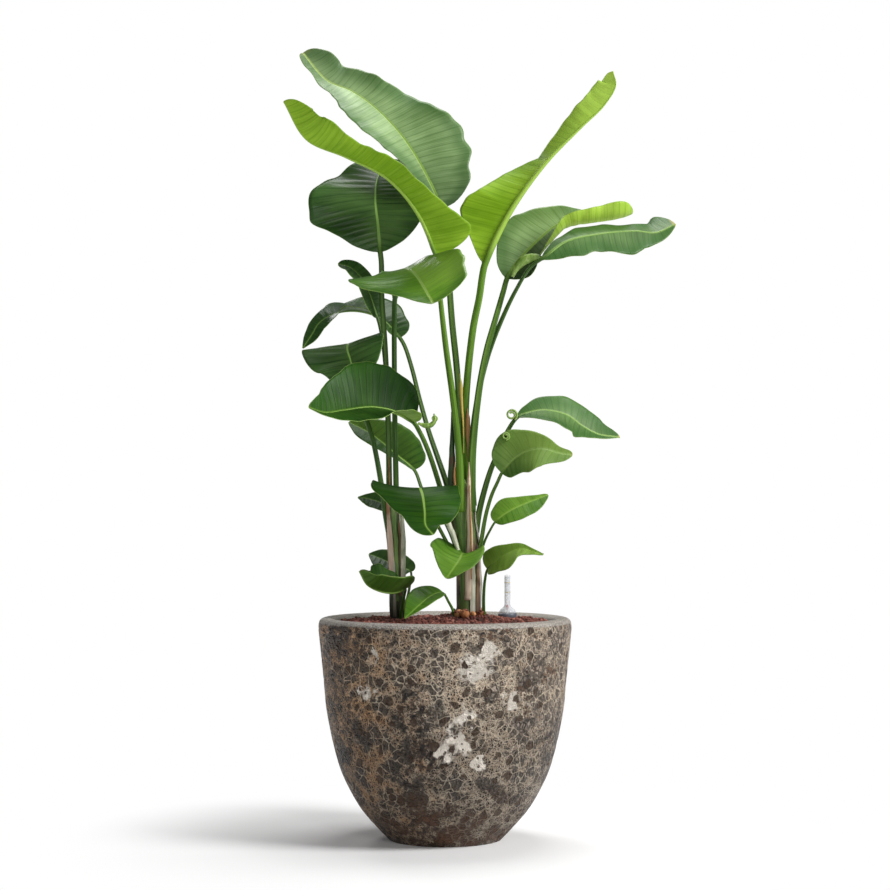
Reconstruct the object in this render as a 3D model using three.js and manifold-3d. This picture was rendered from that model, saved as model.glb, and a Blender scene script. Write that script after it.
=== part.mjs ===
// Potted bird of paradise: a lava-glazed planter with clay granules, a water gauge and a plant of two crowns.
// Millimetres, +Z up, seen from the front along +Y. The origin is the centre of the planter's foot.
import * as THREE from "three";
import { mergeVertices } from "three/addons/utils/BufferGeometryUtils.js";
import Module from "manifold-3d";

const wasm = await Module();
wasm.setup();

// Driving dimensions
const GAP = 0.35;
const POT = { height: 375, rimRadius: 215.5, footRadius: 96, floor: 45, rings: 8 };
const SOIL = { level: 367, bump: 3, mound: 14, moundReach: 75 };
const CLAY = { radius: 7.5, count: 10, ring: 27, squeeze: 0.62 };
const GAUGE = {
  x: 109, y: 85, floor: 150, pipe: 11, bore: 8.6, flange: 16.5, dome: 15, tube: 5.2, tubeBore: 3.8, top: 444,
};
const FLOAT = { radius: 7.4, height: 60, rod: 1.2, head: 2.5, sides: 16 };
const BLADE = { thickness: 1.2, thinning: 0.4, lobe: 0.14, sweep: 0.2, base: 0.09, tip: 0.09 };
const RIB = { least: 0.9, margin: 0.8, sink: 0.3, drop: 1.3 };
const STALK = { top: 0.6, channel: 0.25, pathSteps: 40 };
const SOCKET = { columns: 2, grow: 1.07 };
const LARGE = {
  columns: 4,
  stalkStep: 95,
  stations: [0, 0.012, 0.04, 0.09, 0.16, 0.25, 0.35, 0.46, 0.57, 0.68, 0.78, 0.87, 0.94, 0.98, 1],
};
const SMALL = { columns: 3, stalkStep: 60, stations: [0, 0.025, 0.09, 0.2, 0.34, 0.5, 0.66, 0.81, 0.94, 1] };
const RIGHT_CROWN = { x: 41, y: 25 };

// Seeded random numbers, so that each run gives the same part
function seeded(seed) {
  let state = seed;
  return () => {
    state = (state * 1664525 + 1013904223) % 4294967296;
    return state / 4294967296;
  };
}

const v3 = (p) => new THREE.Vector3(...p);
const radians = THREE.MathUtils.degToRad;

// A value from a short list that is spread evenly over 0 to 1
function along(list, s) {
  const place = Math.min(Math.max(s, 0), 1) * (list.length - 1);
  const low = Math.min(Math.floor(place), list.length - 2);
  return THREE.MathUtils.lerp(list[low], list[low + 1], place - low);
}

// Solids and meshes

function geometryOf(points, triangles) {
  const geometry = new THREE.BufferGeometry();
  geometry.setAttribute("position", new THREE.Float32BufferAttribute(points.flat(), 3));
  geometry.setIndex(triangles);
  return geometry;
}

function solidOf(geometry) {
  const bare = geometry.clone();
  bare.deleteAttribute("normal");
  bare.deleteAttribute("uv");
  const merged = mergeVertices(bare, 1e-3);
  return new wasm.Manifold(
    new wasm.Mesh({
      numProp: 3,
      vertProperties: merged.attributes.position.array,
      triVerts: new Uint32Array(merged.index.array),
    }),
  );
}

// The largest body of a solid, which leaves loose scraps out
function geometryOfSolid(solid) {
  const bodies = solid.decompose().sort((a, b) => b.volume() - a.volume());
  const mesh = bodies[0].getMesh();
  const geometry = new THREE.BufferGeometry();
  geometry.setAttribute("position", new THREE.BufferAttribute(mesh.vertProperties, 3));
  geometry.setIndex(new THREE.BufferAttribute(mesh.triVerts, 1));
  return geometry;
}

// Closed loft through rings of equal length, each turning left as seen from the loft's end. The squares of a
// ring's second half are split the other way, so that both faces of a blade have the same folds.
function loft(rings) {
  const size = rings[0].length;
  const points = rings.flat();
  const triangles = [];
  for (let i = 0; i + 1 < rings.length; i++) {
    for (let j = 0; j < size; j++) {
      const a = i * size + j;
      const b = i * size + ((j + 1) % size);
      if (j < size / 2) triangles.push(a, b, b + size, a, b + size, a + size);
      else triangles.push(a, b, a + size, b, b + size, a + size);
    }
  }
  const last = (rings.length - 1) * size;
  for (let j = 1; j + 1 < size; j++) {
    triangles.push(0, j + 1, j, last, last + j, last + j + 1);
  }
  return geometryOf(points, triangles);
}

function lathe(profile, sides) {
  const points = profile.map(([r, z]) => new THREE.Vector2(r, z));
  return new THREE.LatheGeometry(points, sides).rotateX(Math.PI / 2);
}

// Leaves

const sizeOf = (leaf) => (leaf.large ? LARGE : SMALL);

// Points along a leaf's line at even steps, with the length run at each
function pathOf(points) {
  const curve = new THREE.CatmullRomCurve3(points.map(v3), false, "centripetal");
  const steps = STALK.pathSteps * (points.length - 1);
  const places = Array.from({ length: steps + 1 }, (_, i) => curve.getPoint(i / steps));
  const run = [0];
  for (let i = 1; i <= steps; i++) run.push(run[i - 1] + places[i].distanceTo(places[i - 1]));
  return { places, run, end: run[steps] };
}

function placeAt(path, distance) {
  let i = path.run.findIndex((r) => r >= distance);
  if (i < 1) i = distance > path.end - 1 ? path.run.length - 1 : 1;
  const share = (distance - path.run[i - 1]) / (path.run[i] - path.run[i - 1]);
  return {
    point: path.places[i - 1].clone().lerp(path.places[i], share),
    tangent: path.places[i].clone().sub(path.places[i - 1]).normalize(),
  };
}

// Right, up and forward of the leaf at a place, where up is the side that faces the sky
function frameAt(path, distance, face) {
  const { point, tangent } = placeAt(path, distance);
  const up = face.clone().addScaledVector(tangent, -face.dot(tangent)).normalize();
  return { point, tangent, up, right: tangent.clone().cross(up) };
}

function faceAt(leaf, s) {
  return new THREE.Vector3(...[0, 1, 2].map((k) => along(leaf.face.map((f) => f[k]), s)));
}

// The same with a smooth curve through the list
function smoothAlong(list, s) {
  const place = Math.min(Math.max(s, 0), 1) * (list.length - 1);
  const low = Math.min(Math.floor(place), list.length - 2);
  const [a, b, c, d] = [-1, 0, 1, 2].map((k) => list[Math.min(Math.max(low + k, 0), list.length - 1)]);
  const t = place - low;
  return b + 0.5 * t * (c - a + t * (2 * a - 5 * b + 4 * c - d + t * (3 * (b - c) + d - a)));
}

const roundEnd = (share) => Math.sqrt(1 - Math.pow(1 - Math.min(share, 1), 2));

// Half-width of a blade, rounded off at its base and tip
function halfWidth(half, s) {
  return smoothAlong(half.width, s) * roundEnd(s / BLADE.base) * roundEnd((1 - s) / BLADE.tip);
}

// Across, up and forward of the point at share t of a half-blade, side -1 for left and 1 for right
function bladePoint(leaf, side, s, t, width) {
  const half = side < 0 ? leaf.left : leaf.right;
  const fold = radians(along(half.fold, s));
  const curl = radians(along(half.curl ?? [0, 0], s)) || 1e-4;
  const angle = fold + curl * t;
  const [height, count, phase] = half.wave ?? [0, 1, 0];
  const wave = height * t * t * Math.sin(2 * Math.PI * (count * s + phase)) * Math.sin(Math.PI * s);
  const across = (width * (Math.sin(angle) - Math.sin(fold))) / curl - wave * Math.sin(angle);
  const up = (width * (Math.cos(fold) - Math.cos(angle))) / curl + wave * Math.cos(angle);
  const forward = width * t * t * (BLADE.sweep * s - (half.lobe ?? BLADE.lobe) * Math.pow(1 - s, 4));
  return { across: side * across, up, forward, angle };
}

// One ring of the stalk: a rounded stem, with a shallow channel along its upper side unless it is a socket's
function stalkRing(frame, radius, columns, channel) {
  const ring = [];
  const step = Math.PI / 2 / (columns + 0.5);
  for (let j = -columns; j <= columns; j++) {
    const height = STALK.top - channel * Math.exp(-j * j);
    ring.push([radius * Math.sin(j * step), radius * height * Math.cos(j * step)]);
  }
  for (let j = columns; j >= -columns; j--) {
    ring.push([radius * Math.sin(j * step), -radius * Math.cos(j * step)]);
  }
  return ring.map(([x, y]) =>
    frame.point.clone().addScaledVector(frame.right, x).addScaledVector(frame.up, y).toArray(),
  );
}

// One ring of the blade: the upper side from left to right, then the under side back
function bladeRing(leaf, frame, s, radius, columns) {
  const rib = Math.max(radius * (1 - s), RIB.least);
  const thick = BLADE.thickness * (1 - BLADE.thinning * s);
  const upper = [];
  const under = [];
  for (let j = -columns; j <= columns; j++) {
    const side = Math.sign(j) || 1;
    const half = side < 0 ? leaf.left : leaf.right;
    const width = Math.max(halfWidth(half, s), rib + RIB.margin);
    const reach = j === 0 ? 0 : rib + ((width - rib) * (Math.abs(j) - 1)) / (columns - 1);
    const at = bladePoint(leaf, side, s, reach / width, width);
    const top = frame.point
      .clone()
      .addScaledVector(frame.right, at.across)
      .addScaledVector(frame.up, at.up - (j === 0 ? RIB.sink * rib : 0))
      .addScaledVector(frame.tangent, at.forward);
    const depth = j === 0 ? thick + RIB.drop * rib : thick;
    const lean = j === 0 ? 0 : side * at.angle;
    upper.push(top.toArray());
    under.unshift(
      top
        .clone()
        .addScaledVector(frame.right, depth * Math.sin(lean))
        .addScaledVector(frame.up, -depth * Math.cos(lean))
        .toArray(),
    );
  }
  return [...upper, ...under];
}

// The stalk's rings from its foot up to the blade. A socket's have fewer sides and are larger all round.
function stalkRings(leaf, socket) {
  const size = sizeOf(leaf);
  const path = pathOf([...leaf.stalk, ...leaf.rib]);
  const foot = path.run[STALK.pathSteps * leaf.stalk.length];
  const steps = Math.max(Math.round(foot / size.stalkStep), 3);
  const rings = [];
  for (let i = 0; i < steps; i++) {
    const s = i / steps;
    const frame = frameAt(path, foot * s, faceAt(leaf, 0));
    const radius = along(leaf.radius, s);
    if (socket && i === 0) frame.point.addScaledVector(frame.tangent, -GAP);
    if (socket) rings.push(stalkRing(frame, radius * SOCKET.grow + GAP, SOCKET.columns, 0));
    else rings.push(stalkRing(frame, radius, size.columns, STALK.channel));
  }
  return { rings, path, foot };
}

function leafGeometry(leaf) {
  const size = sizeOf(leaf);
  const { rings, path, foot } = stalkRings(leaf, false);
  const length = path.end - foot;
  const radius = leaf.radius[leaf.radius.length - 1];
  for (const s of size.stations) {
    const frame = frameAt(path, foot + length * s, faceAt(leaf, s));
    if (s === 0) rings.push(stalkRing(frame, radius, size.columns, STALK.channel));
    else rings.push(bladeRing(leaf, frame, s, radius, size.columns));
  }
  return loft(rings);
}

// The stalks and ribs are lists of places chosen by hand from the foot to the tip. A face is the way that the
// upper side looks. Folds and curls lift each half of the blade towards its upper side, in degrees.
const LEAVES = {
  leaf_right_01: {
    large: true,
    stalk: [
      [24, 28, 555], [24, 28, 599], [24, 32, 748], [20, 34, 806], [12, 42, 886], [5, 50, 982],
      [-3, 57, 1060],
    ],
    rib: [
      [-7, 60, 1084], [-47, 76, 1170], [-82, 90, 1223], [-127, 106, 1271], [-166, 118, 1300],
      [-211, 130, 1322], [-254, 142, 1374],
    ],
    radius: [5.8, 5.6, 5.2],
    face: [[0.1, -0.95, 0.2], [0.05, -0.9, 0.4], [0.2, -0.8, 0.5]],
    left: { width: [16, 25, 42, 60, 72, 68, 46, 22, 20], fold: [40, 30, 25] },
    right: { width: [40, 72, 96, 88, 68, 52, 45, 48, 34], fold: [5, 5, 10], wave: [7, 3.5, 0] },
  },
  leaf_right_02: {
    large: true,
    stalk: [
      [28, 8, 555], [27, 4, 599], [25, 3, 655], [15, 0, 746], [3, -2, 831], [-7, 0, 917],
      [-13, 5, 975],
    ],
    rib: [
      [-15, 8, 993], [-44, -14, 1062], [-96, -46, 1119], [-165, -80, 1150], [-227, -108, 1179],
      [-267, -130, 1236],
    ],
    radius: [8.5, 6.8, 5.8, 4.2],
    face: [[0.55, 0.35, 0.75], [0.55, 0.35, 0.75], [0.5, 0.3, 0.8]],
    left: {
      width: [92, 60, 42, 44, 48, 46, 42, 38, 28],
      fold: [50, 25, 20, 30],
      curl: [10, 10],
      lobe: -0.1,
    },
    right: { width: [50, 66, 66, 62, 58, 62, 76, 54, 20], fold: [30, 30, 45, 75], curl: [0, 10, 10] },
  },
  leaf_right_03: {
    large: true,
    stalk: [
      [37, 27, 555], [38, 26, 599], [36, 26, 661], [36, 22, 749], [48, 16, 868], [59, 12, 924],
      [65, 10, 965],
    ],
    rib: [
      [69, 10, 981], [113, 18, 1072], [174, 28, 1157], [236, 38, 1221], [277, 44, 1261],
      [291, 47, 1298], [285, 48, 1322],
    ],
    radius: [6.2, 6.2, 5.8],
    face: [[0, 1, 0.2], [0, 1, 0.2], [0, 1, 0.2]],
    left: { width: [25, 40, 45, 40, 32, 24, 24, 24, 12], fold: [115, 110, 80, 95, 95] },
    right: { width: [44, 52, 76, 54, 56, 50, 38, 28, 30, 34, 38, 36, 22], fold: [10, 20, 78, 30, 15] },
  },
  leaf_right_04: {
    large: true,
    stalk: [
      [46, 12, 555], [46, 8, 599], [47.5, 8, 661], [58.5, 8, 764], [71.5, 8, 832], [87, 16, 887],
      [101, 32, 936],
    ],
    rib: [
      [108, 44, 960], [122, 52, 984], [161, 60, 1027], [203, 68, 1059], [268, 80, 1070],
      [328, 88, 1078],
    ],
    radius: [7, 5.8, 4.6],
    face: [[-0.1, -0.95, 0.2], [-0.1, -0.85, 0.4], [0, -0.7, 0.7]],
    left: { width: [25, 50, 68, 58, 40, 24, 14, 12, 6], fold: [0, 5, 10] },
    right: { width: [25, 45, 52, 58, 60, 60, 62, 60, 28], fold: [0, 0], curl: [10, 90, 140, 150, 140] },
  },
  leaf_right_05: {
    stalk: [
      [50, 34, 565], [48, 34, 599], [47, 34, 679], [57, 32, 756], [74, 29, 825], [97, 21, 885],
      [121, 7, 935], [145, -9, 973],
    ],
    rib: [
      [165, -18, 987], [206, -6, 1018], [263, 12, 1033], [329, 34, 1041], [367, 46, 1040],
      [401, 56, 1056],
    ],
    radius: [5, 5, 3.6],
    face: [[0, -0.45, 0.9], [0, -0.45, 0.9]],
    left: { width: [8, 14, 24, 36, 32, 26, 32, 48, 36], fold: [5, 5], lobe: 0.3 },
    right: { width: [10, 24, 38, 36, 42, 50, 34, 18, 8], fold: [-35, -35], lobe: 0.3 },
  },
  leaf_right_06: {
    stalk: [
      [22, 38, 515], [12, 47, 560], [4, 54, 599], [-14, 63, 653], [-28, 70, 694], [-44, 84, 750],
      [-58, 96, 806], [-71, 106, 846],
    ],
    rib: [
      [-80, 112, 862], [-95, 117, 880], [-121, 124, 902], [-154, 128, 912], [-183, 128, 911],
      [-206, 122, 903], [-222, 116, 889], [-231, 108, 870], [-250, 98, 843],
    ],
    radius: [6, 4.4, 3.6],
    face: [[0.25, -0.8, 0.5], [0.1, -0.4, 0.9], [-0.1, -0.2, 1], [-0.3, -0.8, 0.4], [-0.2, -1, 0.1]],
    left: { width: [20, 28, 32, 32, 30, 26, 30, 20, 4], fold: [35, 20, 5] },
    right: { width: [28, 38, 64, 72, 66, 34, 18, 15, 4], fold: [10, 10] },
  },
  leaf_right_07: {
    large: true,
    stalk: [[27, 22, 470], [15, 27, 515], [2, 30, 561], [-12, 28, 610], [-29, 24, 661], [-43, 16, 692]],
    rib: [
      [-54, 6, 709], [-82, -14, 725], [-122, -44, 732], [-169, -84, 725], [-199, -112, 720],
      [-224, -134, 727],
    ],
    radius: [6.5, 5, 4.4],
    face: [[0.5, -0.6, 0.5], [0.5, -0.6, 0.45], [0.45, -0.6, 0.5]],
    left: { width: [32, 48, 58, 60, 62, 56, 44, 30, 18], fold: [45, 38, 38], curl: [50, 10, 0] },
    right: { width: [58, 71, 80, 82, 78, 66, 54, 38, 20], fold: [10, 20, 20], curl: [0, -10, 0] },
  },
  leaf_right_08: {
    stalk: [[32, 40, 430], [20, 54, 470], [4, 68, 500], [-12, 80, 530], [-30, 92, 566], [-42, 100, 598]],
    rib: [[-54, 110, 628], [-81, 120, 652], [-132, 136, 693], [-171, 148, 714]],
    radius: [4, 3.2, 3],
    face: [[0.2, -0.77, 0.57], [0.2, -0.77, 0.57]],
    left: { width: [6, 10, 26, 32, 8], fold: [15, 15] },
    right: { width: [20, 42, 47, 28, 6], fold: [12, 12] },
  },
  leaf_right_09: {
    large: true,
    stalk: [[32, 9, 452], [24, 3, 486], [9, 1, 527], [-9, 2, 558], [-26, 3, 579]],
    rib: [
      [-44, -3, 592], [-43, -22, 596], [-38, -46, 584], [-34, -72, 557], [-32, -90, 533],
      [-20, -104, 518],
    ],
    radius: [7, 6.5, 4.4],
    face: [[0, 0, 1], [0, -0.3, 0.95], [0, -0.8, 0.5]],
    left: { width: [44, 60, 64, 64, 62, 54, 40, 22, 8], fold: [5, 0, 0], curl: [0, -10, -10] },
    right: { width: [54, 76, 84, 76, 58, 42, 30, 18, 8], fold: [0, 0, 0], curl: [20, 10, 0] },
  },
  leaf_right_10: {
    stalk: [[42, 10, 450], [40, 1, 462], [36, -10, 476]],
    rib: [[31, -18, 485], [24, -42, 474], [12, -60, 457], [3, -70, 444]],
    radius: [4.5, 4, 3],
    face: [[-0.1, -0.6, 0.8], [-0.1, -0.6, 0.8]],
    left: { width: [36, 33, 26, 20, 4], fold: [10, 10], lobe: 1.75 },
    right: { width: [54, 60, 46, 26, 4], fold: [25, 25], lobe: 0.35 },
  },
  leaf_right_11: {
    stalk: [[20, 2, 345], [18, 3, 372], [12, 1, 391], [6, -2, 402]],
    rib: [[-3, -8, 417], [-24, -36, 413], [-45, -62, 397], [-67, -84, 378]],
    radius: [3.2, 2.8, 2.2],
    face: [[0.1, -0.55, 0.83], [0.1, -0.55, 0.83]],
    left: { width: [10, 18, 17, 10, 2], fold: [15, 15] },
    right: { width: [20, 36, 34, 20, 3], fold: [0, 0] },
  },
  leaf_right_12: {
    stalk: [[66, 6, 345], [66, 8, 378], [66, 8, 411], [68, 4, 438]],
    rib: [
      [72, -8, 457], [84, -24, 470], [102, -40, 484], [126, -54, 494], [146, -66, 490],
      [164, -76, 484],
    ],
    radius: [3.4, 3, 2.4],
    face: [[-0.4, -0.7, 0.6], [-0.3, -0.6, 0.8]],
    left: { width: [22, 20, 11, 5, 2], fold: [20, 20] },
    right: { width: [14, 32, 36, 9, 3], fold: [5, 5] },
  },
  leaf_right_13: {
    stalk: [[54, 32, 450], [61, 31, 480], [69, 28, 506], [78, 26, 524]],
    rib: [[86, 26, 537], [103, 28, 551], [129, 32, 565], [178, 40, 584]],
    radius: [3, 2.4, 2],
    face: [[-0.3, -0.75, 0.5], [-0.3, -0.75, 0.5]],
    left: { width: [22, 26, 18, 10, 4], fold: [10, 10] },
    right: { width: [14, 27, 32, 24, 6], fold: [10, 10] },
  },
  leaf_right_14: {
    stalk: [[57, 12, 480], [62, 9, 505], [70, 4, 550], [80, 2, 584], [90, 1, 606]],
    rib: [
      [97, 0, 621], [111, -6, 638], [128, -14, 652], [148, -24, 661], [170, -34, 662],
      [192, -40, 653], [213, -44, 647],
    ],
    radius: [4, 3.4, 2.8],
    face: [[-0.1, -0.85, 0.5], [-0.1, -0.8, 0.6]],
    left: { width: [34, 44, 30, 14, 8], fold: [10, 10] },
    right: { width: [22, 42, 50, 30, 8], fold: [20, 8, 8] },
  },
  leaf_right_15: {
    stalk: [
      [45, 36, 465], [52, 39, 506], [58, 40, 549], [66, 38, 584], [79, 38, 627], [92, 38, 658],
      [109, 38, 696],
    ],
    rib: [
      [126, 38, 719], [150, 42, 728], [174, 48, 731], [212, 58, 723], [240, 68, 704],
      [268, 76, 690], [306, 88, 685],
    ],
    radius: [6, 5, 3.6],
    face: [[0.1, -0.6, 0.8], [0.1, -0.6, 0.8]],
    left: { width: [8, 28, 33, 27, 6], fold: [20, 15] },
    right: { width: [12, 40, 50, 24, 5], fold: [25, 5, 5] },
  },
  leaf_left_01: {
    large: true,
    stalk: [
      [-96, 61, 545], [-97, 62, 610], [-99, 62, 714], [-104, 62, 836], [-110, 62, 925],
      [-111, 62, 990],
    ],
    rib: [
      [-113, 63, 1008], [-117, 68, 1054], [-122, 82, 1100], [-121, 110, 1138], [-112, 142, 1167],
      [-100, 175, 1189],
    ],
    radius: [5.2, 4.8, 4.6],
    face: [[0, -1, 0.1], [0, -0.9, 0.4], [0, -0.7, 0.7]],
    left: { width: [24, 58, 106, 118, 98, 70, 44, 20, 12], fold: [5, 10, 10], wave: [6, 3, 0] },
    right: { width: [22, 54, 88, 96, 95, 90, 70, 50, 18], fold: [5, 10, 10], wave: [6, 3, 0.4] },
  },
  leaf_left_02: {
    large: true,
    stalk: [[-84, 52, 545], [-85, 52, 610], [-87, 52, 714], [-88, 52, 818], [-88, 54, 905]],
    rib: [
      [-87, 52, 925], [-76, 30, 971], [-67, 4, 972], [-51, -36, 958], [-35, -78, 931],
      [-20, -116, 901],
    ],
    radius: [5, 4.6, 4.4],
    face: [[-0.1, 1, 0.3], [-0.35, 0, 0.95], [-0.35, -0.45, 0.85], [-0.3, -0.6, 0.75]],
    left: { width: [10, 18, 28, 46, 82, 86, 75, 62, 16], fold: [20, 11, 6], lobe: -0.2 },
    right: { width: [10, 24, 44, 80, 118, 100, 64, 30, 10], fold: [0, 0, 18, 18, 10], lobe: -0.2 },
  },
  leaf_left_03: {
    stalk: [[-99, 80, 545], [-99, 82, 610], [-100, 82, 700], [-104, 82, 803], [-112, 81, 870]],
    rib: [[-118, 79, 894], [-139, 80, 952], [-154, 80, 972], [-168, 80, 983], [-187, 78, 988]],
    radius: [4, 3.8, 3.2],
    face: [[0.4, -0.6, 0.6], [0.4, -0.6, 0.6]],
    left: { width: [18, 32, 32, 26, 8], fold: [20, 20] },
    right: { width: [10, 18, 17, 14, 6], fold: [20, 20] },
  },
  leaf_left_04: {
    large: true,
    stalk: [
      [-98, 54, 520], [-103, 48, 550], [-112, 43, 613], [-125, 46, 679], [-137, 50, 717],
      [-149, 56, 763], [-158, 60, 792],
    ],
    rib: [
      [-162, 60, 805], [-168, 44, 846], [-168, 24, 833], [-161, 12, 810], [-158, 5, 779],
      [-157, 2, 753],
    ],
    radius: [5, 4.4, 4],
    face: [[0, 0.9, 0.4], [-0.25, -0.2, 1], [-0.25, -0.8, 0.5], [-0.2, -0.9, 0.2]],
    left: { width: [30, 44, 54, 62, 62, 50, 30, 12, 4], fold: [5, 5] },
    right: { width: [40, 60, 74, 78, 70, 56, 40, 20, 5], fold: [5, 5] },
  },
  leaf_left_05: {
    stalk: [[-86, 66, 445], [-91, 80, 480], [-95, 90, 520], [-97, 94, 546]],
    rib: [[-98, 94, 558], [-112, 98, 570], [-132, 102, 577], [-153, 106, 580]],
    radius: [2.6, 2.2, 1.8],
    face: [[0.3, -0.7, 0.6], [0.3, -0.7, 0.6]],
    left: { width: [14, 23, 23, 15, 3], fold: [10, 10] },
    right: { width: [12, 19, 18, 10, 2], fold: [10, 10] },
  },
  leaf_left_06: {
    stalk: [[-78, 40, 345], [-76, 37, 378], [-72, 30, 402], [-69, 18, 416]],
    rib: [[-68, 2, 423], [-87, -18, 418], [-110, -36, 421], [-131, -48, 432], [-144, -54, 455]],
    radius: [3.4, 3, 2.4],
    face: [[0.1, 0.1, 1], [0.1, 0.1, 1]],
    left: { width: [30, 38, 33, 18, 3], fold: [45, 45], lobe: 0.4 },
    right: { width: [32, 54, 52, 30, 4], fold: [60, 60] },
  },
  leaf_left_07: {
    stalk: [[-74, 84, 345], [-72, 87, 379], [-65, 94, 407], [-61, 100, 432]],
    rib: [[-60, 105, 449], [-88, 110, 461], [-115, 114, 473], [-134, 118, 480]],
    radius: [3, 2.6, 2],
    face: [[0.2, -0.7, 0.6], [0.2, -0.7, 0.6]],
    left: { width: [14, 24, 26, 17, 3], fold: [10, 10] },
    right: { width: [15, 25, 24, 13, 2], fold: [10, 10] },
  },
};

// Crowns

// Ring of fused leaf sheaths round a crown's middle
function sheathRing([x, y, z], halfWidth, halfDepth, lobes, turn, sides) {
  const ring = [];
  for (let j = 0; j < sides; j++) {
    const angle = (2 * Math.PI * j) / sides;
    const bulge = 1 + 0.07 * Math.cos(lobes * angle + turn);
    ring.push([x + halfWidth * bulge * Math.cos(angle), y + halfDepth * bulge * Math.sin(angle), z]);
  }
  return ring;
}

const CROWNS = {
  crown_right: {
    lobes: 5,
    places: [
      [41, 25, 320], [41, 25, 370], [41, 25, 440], [40, 25, 495], [33, 24, 540], [29, 22, 598],
      [28, 21, 610],
    ],
    halfWidths: [17, 20, 21, 20.5, 20.5, 22, 13],
    halfDepths: [17, 21, 23, 23, 23, 23, 14],
  },
  crown_left: {
    lobes: 4,
    places: [
      [-81, 60, 320], [-82, 60, 372], [-82, 60, 440], [-84, 60, 505], [-88, 59, 550],
      [-92, 60, 592], [-93, 60, 600],
    ],
    halfWidths: [10, 12, 13.5, 16, 16, 17, 11],
    halfDepths: [12, 14, 18, 20, 22, 23, 14],
  },
};

const stalkSolid = (leaf) => solidOf(loft(stalkRings(leaf, true).rings));

function crownSolid(crown) {
  const rings = crown.places.map((place, i) =>
    sheathRing(place, crown.halfWidths[i], crown.halfDepths[i], crown.lobes, 0.9 * i, 20),
  );
  return solidOf(loft(rings));
}

// Planter

const INNER_WALL = [[178.5, 352], [172, 300], [165, 215], [150, 130], [118, 70], [60, POT.floor]];

function potGeometry() {
  const { height, rimRadius, footRadius, floor } = POT;
  const outer = [
    [footRadius, 0], [113.4, 18], [141.3, 50], [163.4, 87], [180.3, 126],
    [201, 215], [207, 274], [rimRadius, 354],
  ];
  const lip = [[213, 364], [199, height], [185, 370]];
  return lathe([[0, 0], ...outer, ...lip, ...INNER_WALL, [0, floor - 3]], 6 * POT.rings);
}

// Granules

// Height of the granules over a place: flat with small bumps, and heaped round the right crown
function soilHeight(x, y, random) {
  const far = Math.hypot(x - RIGHT_CROWN.x, y - RIGHT_CROWN.y) / SOIL.moundReach;
  return SOIL.level + SOIL.mound * Math.exp(-far * far * 2) + SOIL.bump * (2 * random() - 1);
}

// The planter's filling: rings of points, six more in each, and then rings down the inner wall
function soilSolid() {
  const random = seeded(7);
  const wall = INNER_WALL.map(([r, z]) => [r - GAP, z + GAP / 2]);
  const radius = wall[0][0] + 0.8;
  const points = [[0, 0, soilHeight(0, 0, random)]];
  const triangles = [];
  const first = [0];
  for (let ring = 1; ring <= POT.rings; ring++) {
    const inner = first[ring - 1];
    const outer = points.length;
    first.push(outer);
    const reach = (radius * ring) / POT.rings;
    for (let j = 0; j < 6 * ring; j++) {
      const angle = (Math.PI * (j + 0.5 * (ring % 2))) / (3 * ring);
      const [x, y] = [reach * Math.cos(angle), reach * Math.sin(angle)];
      points.push([x, y, soilHeight(x, y, random)]);
    }
    const innerCount = Math.max(6 * (ring - 1), 1);
    let [i, j] = [0, 0];
    while (j < 6 * ring || (ring > 1 && i < innerCount)) {
      const [a, b] = [inner + (i % innerCount), outer + (j % (6 * ring))];
      if (ring === 1 || (j + 1) * innerCount <= (i + 1) * 6 * ring) {
        triangles.push(a, b, outer + ((j + 1) % (6 * ring)));
        j++;
      } else {
        triangles.push(a, b, inner + ((i + 1) % innerCount));
        i++;
      }
    }
  }
  let above = first[POT.rings];
  const count = 6 * POT.rings;
  for (const [r, z] of wall) {
    const below = points.length;
    for (let j = 0; j < count; j++) {
      const angle = (2 * Math.PI * (j + 0.5 * (POT.rings % 2))) / count;
      points.push([r * Math.cos(angle), r * Math.sin(angle), z]);
      const next = (j + 1) % count;
      triangles.push(above + j, below + j, below + next, above + j, below + next, above + next);
    }
    above = below;
  }
  for (let j = 1; j + 1 < count; j++) triangles.push(above, above + j + 1, above + j);
  return solidOf(geometryOf(points, triangles));
}

// Larger clay balls round the right crown, sunk into the granules
function clayBalls() {
  const random = seeded(3);
  return Array.from({ length: CLAY.count }, (_, i) => {
    const angle = (2 * Math.PI * i) / CLAY.count;
    const radius = CLAY.radius * (0.8 + 0.4 * random());
    const reach = CLAY.ring + radius + 2;
    const ball = new THREE.IcosahedronGeometry(radius, 0).rotateZ(random());
    ball.translate(
      RIGHT_CROWN.x + CLAY.squeeze * reach * Math.cos(angle),
      RIGHT_CROWN.y + reach * Math.sin(angle),
      SOIL.level + SOIL.mound,
    );
    return solidOf(ball);
  });
}

// Water gauge

const gaugePlace = (geometry) => geometry.translate(GAUGE.x, GAUGE.y, 0);
const circle = (profile) => gaugePlace(lathe(profile, FLOAT.sides));

const RING_TOP = SOIL.level + 10;

// Pipe down to the planter's wall with a ring on the granules and an opening for the water at its foot
function gaugeHousing() {
  const { pipe, bore, flange, floor } = GAUGE;
  return circle([
    [4, floor], [pipe, floor], [pipe, RING_TOP - 8], [flange, RING_TOP - 7], [flange, RING_TOP - 1],
    [flange - 1, RING_TOP], [bore, RING_TOP], [bore, floor + 3], [4, floor + 3], [4, floor],
  ]);
}

// Clear dome with the reading tube, open below
function gaugeWindow() {
  const { tube, tubeBore, dome, top } = GAUGE;
  const seat = RING_TOP + GAP;
  return circle([
    [dome - 2, seat], [dome, seat], [dome - 0.5, seat + 3], [tube + 4, seat + 9], [tube, seat + 15],
    [tube, top - 2], [tube - 1.5, top], [0, top], [0, top - 3], [tubeBore, top - 3],
    [tubeBore, seat + 14], [tube + 2, seat + 8], [dome - 2.5, seat + 2], [dome - 2, seat],
  ]);
}

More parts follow.
